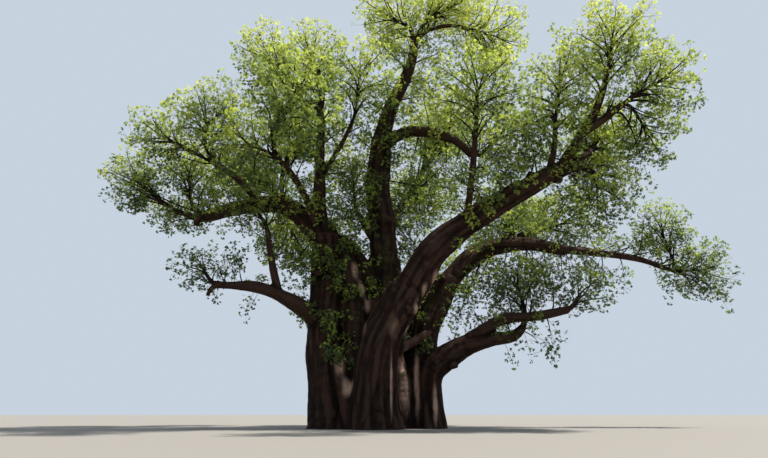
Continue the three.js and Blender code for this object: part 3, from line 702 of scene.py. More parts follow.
for face in wood.data.polygons:
    face.use_smooth = True
lower_wood = wood_between(0, PARTING, "trunk_and_low_boughs")
upper_wood = wood_between(PARTING, None, "high_boughs")
bpy.data.objects.remove(wood)
for piece, low, high in ((lower_wood, 0, PARTING), (upper_wood, PARTING, solid_high[2])):
    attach(piece, "root")
    nodes = [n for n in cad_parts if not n.startswith("foliage")]
    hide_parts(*[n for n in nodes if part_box(n)[0].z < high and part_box(n)[1].z > low])
    print(piece.name, triangles(piece), "triangles")

# %% [markdown]
# ## How materials are put together
# A material is a small network of nodes. The helper here adds one node, sets its plain values and joins
# its inputs to other nodes. Anything that several materials need, such as bark fibres, is built once as a
# node group with named inputs and outputs, and each material sets its own values on it.


# %% Helpers for nodes
def add(tree, kind, inputs=(), **settings):
    """Adds a node. inputs gives, by name or number, a plain value or the output to join it to."""
    made = tree.nodes.new(kind if kind.startswith("Node") else "ShaderNode" + kind)
    made.location.x = 190 * len(tree.nodes)
    for setting, value in settings.items():
        setattr(made, setting, value)
    for place, value in dict(inputs).items():
        if isinstance(value, bpy.types.NodeSocket):
            tree.links.new(value, made.inputs[place])
        else:
            made.inputs[place].default_value = value
    return made


def new_group(name, inputs, outputs):
    """An empty node group with its sockets, and its two end nodes."""
    group = bpy.data.node_groups.new(name, "ShaderNodeTree")
    for socket, (kind, value) in inputs.items():
        made = group.interface.new_socket(socket, in_out="INPUT", socket_type="NodeSocket" + kind)
        if value is not None:
            made.default_value = value
    for socket, kind in outputs.items():
        group.interface.new_socket(socket, in_out="OUTPUT", socket_type="NodeSocket" + kind)
    return group, add(group, "NodeGroupInput").outputs, add(group, "NodeGroupOutput").inputs


def blend(tree, share, one, other, kind="MIX"):
    """A colour between two others."""
    return add(tree, "Mix", {0: share, 6: one, 7: other}, data_type="RGBA", blend_type=kind).outputs[2]


def spread(tree, value, low, high, to_low=0.0, to_high=1.0):
    """Stretches the values from low to high over to_low to to_high, and holds them there beyond."""
    return add(tree, "MapRange", {0: value, 1: low, 2: high, 3: to_low, 4: to_high}).outputs[0]


def product(tree, one, other):
    """Two values multiplied."""
    return add(tree, "Math", {0: one, 1: other}, operation="MULTIPLY").outputs[0]


def new_material(name, **values):
    """A material with its Principled node, and the tree that they are in."""
    material = bpy.data.materials.new(name)
    material.use_nodes = True
    shader = material.node_tree.nodes["Principled BSDF"]
    for socket, value in values.items():
        shader.inputs[socket.replace("_", " ")].default_value = value
    return material, material.node_tree, shader


print("helpers ready")

# %% [markdown]
# ## Bark fibres and cracks
# Close up, bark is long fibres with cracks between plates. Both are noises that are squeezed across the
# limb and stretched along it. The group takes the place on the limb and gives back three masks and a
# height, and the bark of the limbs and that of the twigs use it at their own scales.

# %% Build the group for bark
fibres, given, wanted = new_group(
    "bark_fibres",
    {"Place": ("Vector", None), "Fineness": ("Float", 1.0), "Stretch": ("Float", 5.0)},
    {"Fibres": "Float", "Cracks": "Float", "Blotches": "Float", "Height": "Float"})
squeeze = add(fibres, "Math", {0: 1.0, 1: given["Stretch"]}, operation="DIVIDE").outputs[0]
scale = add(fibres, "CombineXYZ", {0: 1.0, 1: 1.0, 2: squeeze}).outputs[0]
drawn_out = add(fibres, "VectorMath", {0: given["Place"], 1: scale}, operation="MULTIPLY").outputs[0]
sized = add(fibres, "VectorMath", {0: drawn_out, "Scale": given["Fineness"]}, operation="SCALE").outputs[0]
fibre = add(fibres, "TexNoise", {"Vector": sized, "Scale": 5.0, "Detail": 5.0, "Roughness": 0.62}).outputs[0]
plates = add(fibres, "TexVoronoi", {"Vector": sized, "Scale": 2.1, "Randomness": 1.0},
             feature="DISTANCE_TO_EDGE").outputs["Distance"]
cracks = spread(fibres, plates, 0.0, 0.09, 1.0, 0.0)
blotches = add(fibres, "TexNoise", {"Vector": given["Place"], "Scale": 1.3, "Detail": 3.0}).outputs[0]
lowered = add(fibres, "Math", {0: cracks, 1: -0.25, 2: fibre}, operation="MULTIPLY_ADD").outputs[0]
for name, value in (("Fibres", fibre), ("Cracks", cracks), ("Blotches", blotches), ("Height", lowered)):
    fibres.links.new(value, wanted[name])
print("group", fibres.name, "gives", [o.name for o in wanted if o.name])

# %% [markdown]
# ## Bark of the limbs
# The bark is grey-brown, painted darker than real bark as the shade that the crown casts on the trunk.
# Its hollows get painted shade and its ridges a painted pinkish-brown highlight. The healed scars are paler,
# patches painted nearly cream stand for sunlight through the crown, and where moss grows it is dull green.
# Each colour is laid over the last as far as its mask says. Base colour, roughness and bump all follow the
# same fibres and cracks, so that a dark crack is also rough and deep.

# %% Paint the limbs
bark, tree, shader = new_material("bark", Roughness=0.9, Specular_IOR_Level=0.06)
place = add(tree, "Attribute", attribute_name="unrolled").outputs["Vector"]
grain = add(tree, "Group", {"Place": place, "Fineness": 1.0, "Stretch": 5.0}, node_tree=fibres).outputs
in_hollow, moss, scar, painted_sunlight = (add(tree, "Attribute", attribute_name=mask).outputs["Fac"]
                                 for mask in ("hollow", "mossy", "scarred", "painted_sun_patches"))
# Sunlight painted onto the bark, broken into patches by the blotches.
painted_sunlight = product(tree, painted_sunlight, spread(tree, grain["Blotches"], 0.35, 0.6, 0.45, 1.0))
growing = product(tree, moss, spread(tree, grain["Blotches"], 0.4, 0.6))

# Each layer: its mask, the values where it begins and is strongest, how strong it gets, and its colour.
BARK_LAYERS = (
    (grain["Blotches"], 0.42, 0.64, 0.5, (50, 32, 26)),
    # Painted highlight: the least hollow skin, the ridges, is made paler.
    (in_hollow, 0.42, 0.15, 0.3, (92, 68, 58)),
    # Painted shade: the hollows are darkened.
    (in_hollow, 0.58, 0.95, 0.6, (14, 10, 9)),
    (scar, 0.2, 0.9, 0.5, (136, 110, 92)),
    # Painted sunlight: pale, nearly cream patches.
    (painted_sunlight, 0.05, 0.4, 0.8, (184, 152, 132)),
    (growing, 0.1, 0.8, 0.75, (70, 78, 38)),
    (grain["Cracks"], 0.0, 1.0, 0.35, (16, 12, 10)),
)
# The base tones, darker than real bark: painted shade of the crown over the whole trunk.
tone = blend(tree, spread(tree, grain["Fibres"], 0.32, 0.68),
             from_screen(24, 18, 15), from_screen(43, 33, 28))
for mask, begins, strongest, most, colour in BARK_LAYERS:
    tone = blend(tree, spread(tree, mask, begins, strongest, 0.0, most), tone, from_screen(*colour))
tree.links.new(tone, shader.inputs["Base Color"])
tree.links.new(spread(tree, grain["Fibres"], 0.3, 0.7, 0.95, 0.72), shader.inputs["Roughness"])
bump = add(tree, "Bump", {"Strength": 0.75, "Distance": 0.06, "Height": grain["Height"]})
tree.links.new(bump.outputs[0], shader.inputs["Normal"])
for piece in (lower_wood, upper_wood):
    piece.data.materials.append(bark)
print("bark has", len(tree.nodes), "nodes")

# %% [markdown]
# ## How a mass grows
# The rule is that of the solid model, carried on to finer twigs. Branches leave the stem of the mass in
# directions spread evenly round its middle, and reach almost to the edge of its space. Twigs spiral round
# each branch by the golden angle, as shoots do in nature, and twiglets round each twig. Shoots are only
# remembered here, by how many points and sides they have, and become meshes later.

# %% Remember the shoots, and find directions
GOLDEN = math.pi * (3 - math.sqrt(5))
FULL_TURN = 6.3
UP, ALONG_X = np.array((0.0, 0.0, 1.0)), np.array((1.0, 0.0, 0.0))
BOX_MARGIN = 0.05
tubes = {}
sprays = {}


def grow_tube(line, thick, thin, sides):
    """Remembers a shoot, to be made with all others that have as many points and sides."""
    tubes.setdefault((len(line), sides), []).append((line, np.linspace(thick, thin, len(line))))


def even_direction(index, count, turned, half):
    """Directions spread evenly round a point, stretched to the shape of a mass."""
    height = 1 - (2 * index + 1) / count
    turn = GOLDEN * index + turned
    level = math.sqrt(1 - height * height)
    return unit(np.array((level * math.cos(turn), level * math.sin(turn), height)) * half)


def aside(direction, turn, angle):
    """The direction turned away by angle, towards the side that turn says."""
    side = unit(np.cross(direction, UP if abs(direction[2]) < 0.9 else ALONG_X))
    over = np.cross(side, direction)
    return direction * math.cos(angle) + (side * math.cos(turn) + over * math.sin(turn)) * math.sin(angle)


def in_solid_box(point):
    """Whether a point lies well inside the box of the solid model."""
    return all(low + BOX_MARGIN < at < high - BOX_MARGIN
               for low, at, high in zip(solid_low, point, solid_high))


print("the second direction of five:", even_direction(1, 5, 0, np.ones(3)).round(2))

# %% [markdown]
# ## Twigs and twiglets
# A twig is a short arc with twiglets all round it, and a spray of leaves stands at the end of every
# twiglet. A twig that would leave the space of its mass is shortened until it fits, or left out. One limb
# droops in plain sight of the viewer, so leaves also keep off the line from the eye to it.

# %% Grow twigs and twiglets
TWIGLETS_AT = (0.2, 0.34, 0.47, 0.59, 0.7, 0.8, 0.9, 1.0)
TWIGLET_LENGTH = (0.14, 0.36)
TWIGLET_ANGLE, END_TWIGLET_ANGLE = (0.6, 1.1), 0.2
TWIG_POINTS, TWIG_SIDES = 4, 3
TWIG_RADIUS, THICKER_PER_METRE, TWIG_TIP = 0.006, 0.006, 0.004
TWIGLET_RADIUS, TWIGLET_TIP = 0.005, 0.0025
TWIG_BOW, TWIG_SAG = 0.08, 0.4
BARE_FOOT = 0.1
TIMES_SHORTENED, SHORTENED_TO = 3, 0.65
SPRAY_REACH = 0.16
# Spots on the drooping end of the limb centre_side, and how far leaves keep off the line from the eye to one.
SEEN_SPOTS = np.array(((3.9, 0.1, 14.7), (4.3, -0.05, 14.5), (4.7, -0.2, 14.1), (5.0, -0.3, 13.7),
                       (5.2, -0.4, 13.4)))
SIGHT_RADIUS = 0.34


def hides_limb(point):
    """Whether leaves at the point would hide that limb from the viewer."""
    sight = np.array(EYE) - SEEN_SPOTS
    along = ((point - SEEN_SPOTS) * sight).sum(1) / (sight ** 2).sum(1)
    aside_of_it = np.linalg.norm(point - SEEN_SPOTS - sight * along[:, None], axis=1)
    return ((along > 0) & (aside_of_it < SIGHT_RADIUS)).any()


def grow_twig(start, direction, length, rng, fits, piece, tint_of, lift):
    """One twig with its twiglets, and a spray at the end of each."""
    for _ in range(TIMES_SHORTENED):
        end = start + direction * length + UP * lift * length
        if fits(end):
            break
        length *= SHORTENED_TO
    else:
        return
    middle = (start + end) / 2 + direction * TWIG_BOW * length - UP * lift * TWIG_SAG * length
    t = np.linspace(0, 1, TWIG_POINTS)[:, None]
    line = start * (1 - t) ** 2 + 2 * middle * t * (1 - t) + end * t ** 2
    grow_tube(line, TWIG_RADIUS + THICKER_PER_METRE * length, TWIG_TIP, TWIG_SIDES)
    spin = rng.uniform(0, FULL_TURN)
    for number, share in enumerate(TWIGLETS_AT):
        if share * length < BARE_FOOT:
            continue
        root = line[0] * (1 - share) ** 2 + 2 * middle * share * (1 - share) + line[-1] * share ** 2
        angle = END_TWIGLET_ANGLE if share == 1.0 else rng.uniform(*TWIGLET_ANGLE)
        heading = unit(aside(direction, spin + number * GOLDEN, angle) + UP * 0.15)
        tip = root + heading * rng.uniform(*TWIGLET_LENGTH)
        if fits(tip + heading * SPRAY_REACH * 0.5) and not hides_limb(tip):
            grow_tube(np.array((root, tip)), TWIGLET_RADIUS, TWIGLET_TIP, TWIG_SIDES)
            sprays.setdefault(piece, []).append((*tip, *heading, tint_of(tip, rng)))


print("up to", len(TWIGLETS_AT), "sprays on a twig")

# %% [markdown]
# ## Branches, and the sun and shade painted on their leaves
# A branch carries twigs from some way along it to its end, longer ones first. A slow noise leaves out whole
# twigs here and there, so that the crown has gaps to look through. Every spray is also given one of four
# tints, by how high it is: the tints paint sun onto the leaves on top of a clump and shade onto those below.

# %% Grow branches, and choose the tints
TWIG_EVERY = 0.25
TWIG_LENGTH = (0.75, 1.2)
TWIG_ANGLE, END_TWIG_ANGLE = (0.7, 1.15), 0.15
TWIG_LIFT = 0.12
BRANCH_SIDES, BRANCH_TIP = 5, 0.011
GAP_SIZE, GAP_ABOVE = 1.1, 0.42
# How much sun the leaf tints paint: a start for the masses, more up each mass and more per metre up the tree.
SUN_IN_MASSES, SUNNIER_UP_THE_MASS = 1.65, 0.9
MIDDLE_HEIGHT, SUNNIER_PER_METRE = 13.5, 0.14
TINT_PATCH_SIZE = 1.7
BRIGHTEST = 3.99


def grow_branch(line, thick, rng, fits, piece, tint_of, outwards, first, lift):
    """One branch, and twigs along it from the share first to its end."""
    length = np.linalg.norm(np.diff(line, axis=0), axis=1).sum()
    grow_tube(line, thick, BRANCH_TIP, BRANCH_SIDES)
    count = max(3, round(length * (1 - first) / TWIG_EVERY))
    tangents = unit(np.gradient(line, axis=0))
    spin = rng.uniform(0, FULL_TURN)
    for number, share in enumerate(np.linspace(first, 1, count)):
        at = share * (len(line) - 1)
        low = min(int(at), len(line) - 2)
        start = line[low] + (line[low + 1] - line[low]) * (at - low)
        if share < 1 and noise.noise(Vector(start / GAP_SIZE)) > GAP_ABOVE:
            continue
        angle = END_TWIG_ANGLE if share == 1 else rng.uniform(*TWIG_ANGLE)
        heading = unit(aside(tangents[round(at)], spin + number * GOLDEN, angle) + outwards * 0.3)
        reach = rng.uniform(*TWIG_LENGTH) * (1.2 - 0.45 * share)
        grow_twig(start, heading, reach, rng, fits, piece, tint_of, lift)


def tint_in_mass(name):
    """How much sun a spray's tint paints, from 0 for painted shade to 3 for full sun: more when high in its
    mass and in the tree.
    """
    _, centre, half = MASSES[name]

    def tint_of(point, rng):
        """The tint of one spray, with slow patches and a little chance."""
        high = (point[2] - centre[2]) / half[2]
        patch = noise.noise(Vector(point / TINT_PATCH_SIZE))
        sunny = SUN_IN_MASSES + SUNNIER_UP_THE_MASS * high + SUNNIER_PER_METRE * (point[2] - MIDDLE_HEIGHT)
        return int(np.clip(sunny + 1.1 * patch + rng.normal(0, 0.45), 0, BRIGHTEST))
    return tint_of


print("twigs stand every", TWIG_EVERY, "m along a branch")

# %% [markdown]
# ## The masses
# The stem of a mass and the outer part of its bough make a spine. A branch that heads on with the stem
# leaves near the end of the spine, and one that heads back leaves further down, as on a real bough. Most
# branches bend up towards their end, but in the masses that hang they bend down. The masses are shared out
# to six pieces, so that none is too heavy.

# %% Grow the masses
BRANCHES = 3.5
BRANCH_REACH = (0.7, 0.93)
STEM_SIDES, INSIDE_THE_SKIN = 8, 0.97
SPINE_POINTS, OUTER_PART_FROM = 61, 20
EDGE_MARGIN = 0.3
HANGING = {"right_droop": 0.9, "right_hang": 0.9, "left_skirt": 0.3, "low_right_in": 0.2,
           "middle_right": 0.35}


def grow_mass(name, index, piece):
    """Branches from the stem of a mass and the outer part of its bough, out to the edge of its space."""
    rng = np.random.default_rng(index + 1)
    on, centre, half = MASSES[name]
    centre, half = np.array(centre), np.array(half)
    holds, reach = SPACES[name]
    hang = HANGING.get(name, 0)
    stem, thick = MASS_STEMS[name]
    grow_tube(evenly(stem, 9), thick * INSIDE_THE_SKIN, HEART_RADIUS * 0.8, STEM_SIDES)
    bough = line_through(BOUGHS[on][0], BOUGH_POINTS)[OUTER_PART_FROM:-1]
    spine = evenly(np.vstack([bough, stem]), SPINE_POINTS)
    last = SPINE_POINTS - 1
    inwards = unit(spine[-1] - spine[-8])
    count = round(BRANCHES * float(np.prod(half)) ** (2 / 3))
    for number in range(count):
        outwards = even_direction(number, count, index, half)
        from_heart = np.interp(outwards.dot(inwards), (-1, 0.2, 1), (0.3, 0.8, 1.0))
        first = int(from_heart * last) - (2 if from_heart < 1 else 0)
        start, leaving = spine[first], unit(spine[min(first + 1, last)] - spine[first - 1])
        end = centre + outwards * reach(outwards) * rng.uniform(*BRANCH_REACH)
        end = np.clip(end, np.array(solid_low) + EDGE_MARGIN, np.array(solid_high) - EDGE_MARGIN)
        span = np.linalg.norm(end - start)
        arrive = unit(outwards + UP * (0.35 - 1.6 * hang))
        top = end - arrive * span * 0.35
        line = bezier(start, start + leaving * span * 0.25, top, end, 8)
        girth = min(0.1, 0.024 + 0.015 * span)
        grow_branch(line, girth, rng, lambda p: holds(p) and in_solid_box(p), piece, tint_in_mass(name),
                    outwards, first=0.3, lift=TWIG_LIFT - 0.7 * hang)


LEAF_PIECES = {
    "leaves_left": ("left_tip", "left_belly", "left_skirt", "left_shoulder", "left_brow", "left_inner",
                    "left_under", "low_left_tip", "inner"),
    "leaves_top": ("upper_left_far", "upper_left_top", "upper_middle", "top_left", "top_middle", "top_right",
                   "middle_right"),
    "leaves_right": ("right_crown_left", "right_crown_top", "right_crown_far", "right_crown_low",
                     "right_crown_mid", "right_droop"),
    "leaves_low": ("far_right_top", "far_right_tip", "low_right_out", "low_right_in", "right_hang",
                   "front_left", "front_right"),
    "leaves_back_left": ("left_back", "upper_left_back", "back_left"),
    "leaves_back_right": ("back_upper_right", "back_right", "back_centre"),
}
order = list(MASSES)
for piece, names in LEAF_PIECES.items():
    for name in names:
        grow_mass(name, order.index(name), piece)
print({piece: len(found) for piece, found in sprays.items()}, "sprays;",
      {kind: len(found) for kind, found in tubes.items()}, "shoots")

# %% [markdown]
# ## Side branches of the boughs
# Between its root and its tip a bough bears side branches too, about one to five metres long. They fill
# the middle of the crown, where the boughs would otherwise look like bare pipes. The table says what share
# of its bough is behind each one where it leaves, and then the place where it ends. One that ends lower
# than it starts lets its twigs hang.

# %% Grow side branches
SIDE_BRANCHES = {
    "left_main": [(.62, -6.2, -.9, 11.4), (.7, -7.4, -.7, 11), (.8, -8.2, -.8, 10.8), (.88, -9.2, -.4, 11),
        (.02, -3.9, -.6, 7.6), (.1, -4.4, -.4, 8.8), (.3, -4.6, 2.2, 12), (.45, -5.3, -.3, 12.7),
        (.6, -6.9, 2.5, 12.3), (.75, -7.9, .2, 12.1), (.9, -8.9, 2.4, 11.6)],
    "left_rising": [(.4, -7.6, 2, 13.4), (.7, -7.3, -1, 13.9), (.85, -8.2, -1, 17), (.9, -7.5, -.4, 17.2),
        (.8, -7.1, .4, 16.2)],
    "left_front": [(.6, -3.3, -2.1, 13), (.8, -5.4, -.9, 13.6)],
    "upright": [(.6, -2.9, 2.8, 13.7), (.5, -1.7, -1, 12.3), (.35, -3.9, 1.6, 12.4), (.45, -3, -1.5, 13.1),
        (.5, -1.6, 1.3, 13.4), (.6, -4.3, -.6, 14.6), (.75, -1.6, .4, 15.6), (.85, -4.2, .8, 16.3),
        (.95, -1.9, .8, 17.4)],
    "upright_fork": [(.5, -2.6, -1.1, 14.9), (.8, -.5, .3, 15.8)],
    "centre": [(.85, 1.2, 2.4, 14.7), (.8, .8, -.4, 14.1), (.1, 1.3, 3, 9.2), (.28, 2.6, 3, 10.7),
        (.12, -.2, 3.2, 9.4), (.35, 1.1, 3.4, 10.9), (.62, 3, 1.4, 12.6), (.3, -1.6, 1.6, 10.9),
        (.45, 2.2, 2.2, 12.2), (.5, -1.4, 2.4, 13), (.75, 1.9, 2.4, 14.4), (.4, -.7, -.5, 9.9),
        (.5, -.4, -.5, 11), (.55, -1.3, -.5, 10.8), (.6, 0, -.3, 12), (.65, -1, -.5, 12.4),
        (.7, .7, .1, 14), (.35, -.9, -.6, 9), (.7, 1.3, .3, 13.9), (.8, 1.4, -.1, 14.8),
        (.8, -1.3, .2, 15.4), (.9, -.7, 2, 16.3), (.95, .9, -1.2, 16.4)],
    "centre_side": [(.6, 3.9, 1.6, 12.8), (.35, 2, 1.4, 13.7), (.45, 2.6, -.6, 17), (.65, 4.2, .6, 16.6),
        (.8, 4.3, .9, 13.2)],
    "top": [(.2, .3, 3.2, 17.2), (.4, 1.4, 3.4, 18.6), (.55, 2.6, 3.2, 20), (.8, 3.1, .5, 21.4),
        (.25, -1, 1, 17.8), (.3, .8, 2.6, 18.3), (.35, 2.8, 0, 17.4), (.45, -.4, .6, 19),
        (.5, 3.3, .4, 18.9), (.55, 1.6, -1.2, 19.6), (.62, .2, -.9, 20.2), (.7, 4, .6, 20.6),
        (.8, .9, 1.9, 21.4), (.85, 2.7, 2.2, 21.9)],
    "top_side": [(.95, 7.4, 2, 20.6), (.9, 7.3, 2.4, 18.3), (.4, 3.4, .2, 23.3), (.75, 4.9, .9, 22.9),
        (.7, 4.8, -.6, 20.4)],
    "right_main": [(.42, 4.3, .3, 11.3), (.5, 4.9, -1, 11.9), (.58, 6, -1, 12.7), (.62, 6.4, -3.4, 11.6),
        (.66, 7.1, .1, 12.9), (.7, 7.7, -3.2, 12.6), (.75, 7.8, -2, 13.7), (.85, 9.2, -.4, 13.3),
        (.9, 9.9, -2.9, 11.3), (.92, 8.7, 1.2, 14.6)],
    "right_spur": [(.9, 8, 1.6, 16.1), (.95, 8.4, .2, 16.8), (.4, 7.9, -3, 14.2), (.6, 8.2, -1.4, 14.9),
        (.75, 9.9, -3.4, 14.9)],
    "right_rising": [(.85, 9.5, -3, 18.6), (.9, 13.6, -3, 18.6), (.35, 9.2, -3.9, 14),
        (.5, 10.2, -1.2, 14.9), (.6, 11.9, -1.7, 15.2), (.8, 10.3, -3.2, 16.8)],
    "right_outer": [(.4, 12.1, -3, 16.2), (.8, 14.5, -3, 17.9), (.95, 15.5, -2.5, 15.3),
        (.7, 13.5, -1.4, 12.5), (.4, 11.2, -4.2, 14.9), (.6, 11.9, -2.2, 13.6)],
    "far_right_inner": [(.66, 8.4, 1.8, 8.2), (.56, 7.3, 1.5, 8.2), (.72, 8.8, 3.4, 8.5),
        (.88, 10.4, 1.6, 8.3), (.28, 3.9, 2, 6.3), (.36, 4.3, 1.5, 5.2), (.4, 5.4, 3.2, 10.6),
        (.45, 5.6, 2.4, 7.4), (.55, 6.8, 2, 7.6), (.6, 7.3, 1.2, 10.9), (.68, 8, 2.2, 7.7),
        (.78, 8.9, 3.6, 10.9), (.8, 9.3, 2.6, 7.9), (.92, 10.3, 3.1, 7.9)],
    "far_right_outer": [(.08, 12.1, 2.4, 8.3), (.25, 13.6, 3.7, 9.9), (.35, 14.6, 2.6, 9.7),
        (.5, 15.8, 3.4, 9.5), (.95, 18.5, 3, 7), (.97, 18.8, 3.4, 9.4), (.15, 11.4, 2.4, 8),
        (.3, 12.2, 3.6, 10.3), (.35, 12.6, 3.4, 8), (.5, 14.6, 3.5, 10.1), (.5, 13.4, 2.4, 7.9),
        (.62, 15.6, 3.9, 11.6), (.75, 15.9, 2.2, 7.4), (.85, 17.3, 3, 9.8)],
    "low_right": [(.98, 8.3, 1.2, 7), (.55, 4.9, 1, 5.9), (.75, 6.2, .6, 6), (.9, 7.9, .1, 4)],
    "low_right_fork": [(.4, 6.6, .3, 6.8), (.6, 7.4, -1.3, 6.4), (.75, 8.3, -.9, 4.1), (.8, 8.8, -.2, 6.7)],
    "low_left": [(.75, -6.3, -1.9, 7.4), (.9, -7.1, -.8, 7.6)],
    "low_left_fork": [(.5, -4.1, -.7, 8.4), (.6, -5.2, .3, 8.9), (.75, -6.1, -.9, 9.4)],
    "back_left": [(.4, -3.1, 2.6, 11.9), (.5, -2.6, 4.9, 11.3), (.6, -6.4, 3, 12.4), (.9, -7.3, 4.6, 14.8),
        (.4, -4.8, 2.2, 11.6), (.55, -3.1, 4.3, 12.5), (.7, -5.9, 3.2, 13.6), (.85, -4.3, 5.5, 14.2)],
    "back_right": [(.45, 3.5, 6.2, 9.8), (.6, 7.4, 7.6, 10.4), (.9, 9.6, 7.2, 11.4), (.35, 4, 4.8, 9.6),
        (.5, 6, 3.6, 10.1), (.7, 5.9, 6.6, 11.3), (.85, 8.2, 4.6, 11.9)],
    "inner_back": [(.6, .2, 3.1, 12)],
    "back_centre": [(.15, 2.4, 3.6, 9.7), (.3, 1.8, 3.2, 9.9), (.35, 2.3, 3.5, 9.3), (.25, 1.7, 2.9, 8.6),
        (.4, 2.3, 2.7, 12.1), (.6, .2, 4.9, 13.4), (.8, 2.9, 4.3, 14.4), (.7, 4.6, 3.6, 15.5),
        (.85, 3.4, 7.4, 15.8), (.9, .6, 6.9, 14.6), (.95, 3.9, 4.4, 17)],
    "front_right": [(.35, 5.2, -3.9, 10.2), (.5, 3.8, -4.5, 10.3), (.6, 4.9, -5.3, 10.6),
        (.7, 4.1, -5.4, 11.3), (.4, 3.3, -3.3, 11.6), (.6, 5.7, -4, 12.2), (.8, 4, -4.2, 13.2)],
}


FINE_POINTS = 80
SUN_ON_SIDE_BRANCHES = 1.2
FRONT_HALF_UP_TO = 1.5


def tint_inside(base):
    """How much sun the tint of a spray inside the crown paints: the higher in the tree, the more, starting
    from base.
    """

    def tint_of(point, rng):
        """The tint of one spray, with slow patches and a little chance."""
        patch = noise.noise(Vector(point / TINT_PATCH_SIZE))
        sunny = base + SUNNIER_PER_METRE * (point[2] - MIDDLE_HEIGHT) + patch
        return int(np.clip(sunny + rng.normal(0, 0.5), 0, BRIGHTEST))
    return tint_of


def grow_side_branch(bough, share, end, rng):
    """One side branch, curved from its bough to the end that the table gives."""
    line = line_through(BOUGHS[bough][0], FINE_POINTS)
    at = round(share * (FINE_POINTS - 1))
    start, leaving = line[at], unit(line[min(at + 1, FINE_POINTS - 1)] - line[at - 1])
    end = np.array(end, float)
    span, hangs = np.linalg.norm(end - start), end[2] < start[2]
    outwards = unit(end - start)
    arrive = unit(outwards - UP * 0.9 if hangs else outwards + UP * 0.3)
    curve = bezier(start, start + leaving * span * 0.3, end - arrive * span * 0.35, end, 9)
    piece = "leaves_inner" if end[1] < FRONT_HALF_UP_TO else "leaves_inner_back"
    grow_branch(curve, 0.03 + 0.014 * span, rng, in_solid_box, piece, tint_inside(SUN_ON_SIDE_BRANCHES),
                outwards, first=0.32, lift=-0.35 if hangs else TWIG_LIFT)


rng = np.random.default_rng(900)
for bough, branches_on_it in SIDE_BRANCHES.items():
    for share, *end in branches_on_it:
        grow_side_branch(bough, share, end, rng)
print(len(sprays["leaves_inner"]), "and", len(sprays["leaves_inner_back"]), "sprays on side branches")

# %% [markdown]
# ## Shoots that cling to the limbs
# A baobab also sprouts straight from its old bark. Short leafy shoots cover the left stem and stand in
# tufts on the centre bough and on the right stems. They start just under the surface and lean outwards
# and up, or hang where they grow from the underside. Low on the left stem they keep to the side that its
# neighbours shelter. The table gives for each limb the stretch of it that sprouts, and how many shoots.

# %% Grow shoots on the old wood
SPROUTING = (
    ("left", 0.52, 1.0, 96), ("left_back", 0.55, 1.0, 16), ("leaning", 0.6, 1.0, 14),
    ("crossing", 0.3, 1.0, 8), ("right", 0.45, 1.0, 26), ("left_main", 0.0, 0.95, 34),
    ("upright", 0.05, 0.9, 20), ("centre", 0.1, 1.0, 44),
    ("top", 0.05, 0.9, 16), ("centre_side", 0.1, 1.0, 14), ("right_main", 0.3, 1.0, 58),
    ("far_right_inner", 0.25, 1.0, 20), ("far_right_outer", 0.05, 1.0, 10), ("low_right", 0.55, 1.0, 8),
    ("low_right_fork", 0.25, 1.0, 8), ("low_left", 0.55, 1.0, 6), ("low_left_fork", 0.2, 1.0, 6),
    ("left_rising", 0.2, 1.0, 6), ("left_front", 0.2, 1.0, 10), ("right_rising", 0.15, 1.0, 8),
    ("right_outer", 0.2, 1.0, 5), ("back_left", 0.2, 1.0, 12), ("back_right", 0.2, 1.0, 12),
    ("back_centre", 0.2, 1.0, 8), ("front_right", 0.1, 1.0, 10), ("inner_back", 0.1, 1.0, 8),
    ("upright_fork", 0.1, 1.0, 5), ("top_side", 0.1, 1.0, 5), ("right_spur", 0.1, 1.0, 5),
)
LOW_SHOOTS = ("left", 0.3, 0.52, 22)
SHELTERED = unit((0.7, -0.7, 0.1))
SPROUT_LENGTH = (0.5, 1.15)
SUN_ON_SPROUTS = 2.1
ROOT_DEPTH_SHARE = 0.93
LOWEST_SHOOT = 2


def grow_sprouts(limb_name, low, high, count, index, side=None):
    """Short shoots round a limb, or mostly on one side of it."""
    rng = np.random.default_rng(index + 500)
    path, thick, thin = (STEMS.get(limb_name) or BOUGHS[limb_name])[:3]
    line = line_through(path, FINE_POINTS)
    tangents, normals, binormals = frames_along(line)
    for _ in range(count):
        share, turn = rng.uniform(low, high), rng.uniform(0, FULL_TURN)
        at = round(share * (FINE_POINTS - 1))
        away = normals[at] * math.cos(turn) + binormals[at] * math.sin(turn)
        if side is not None:
            away = unit(away * 0.6 + side)
        root = line[at] + away * (thick + (thin - thick) * share) * ROOT_DEPTH_SHARE
        heading = unit(away + UP * rng.uniform(0.1, 0.7) if away[2] > -0.5 else away + tangents[at] * 0.3)
        length = rng.uniform(*SPROUT_LENGTH)
        grow_twig(root, heading, length, rng, lambda p: p[2] > LOWEST_SHOOT, "leaves_sprouts",
                  tint_inside(SUN_ON_SPROUTS), lift=rng.uniform(-0.25, 0.25))


for index, entry in enumerate(SPROUTING):
    grow_sprouts(*entry, index)
grow_sprouts(*LOW_SHOOTS, len(SPROUTING), SHELTERED)
print(len(sprays["leaves_sprouts"]), "sprays on the old wood")

# %% [markdown]
# ## Branches and twigs as meshes
# There are tens of thousands of shoots, so they aren't made one object each. They are worked out together
# as arrays, and this helper hands such arrays to Blender in a few calls. The `foreach_set` of a mesh takes
# a whole array at once, where a bmesh would take each vertex by itself and be many times slower.


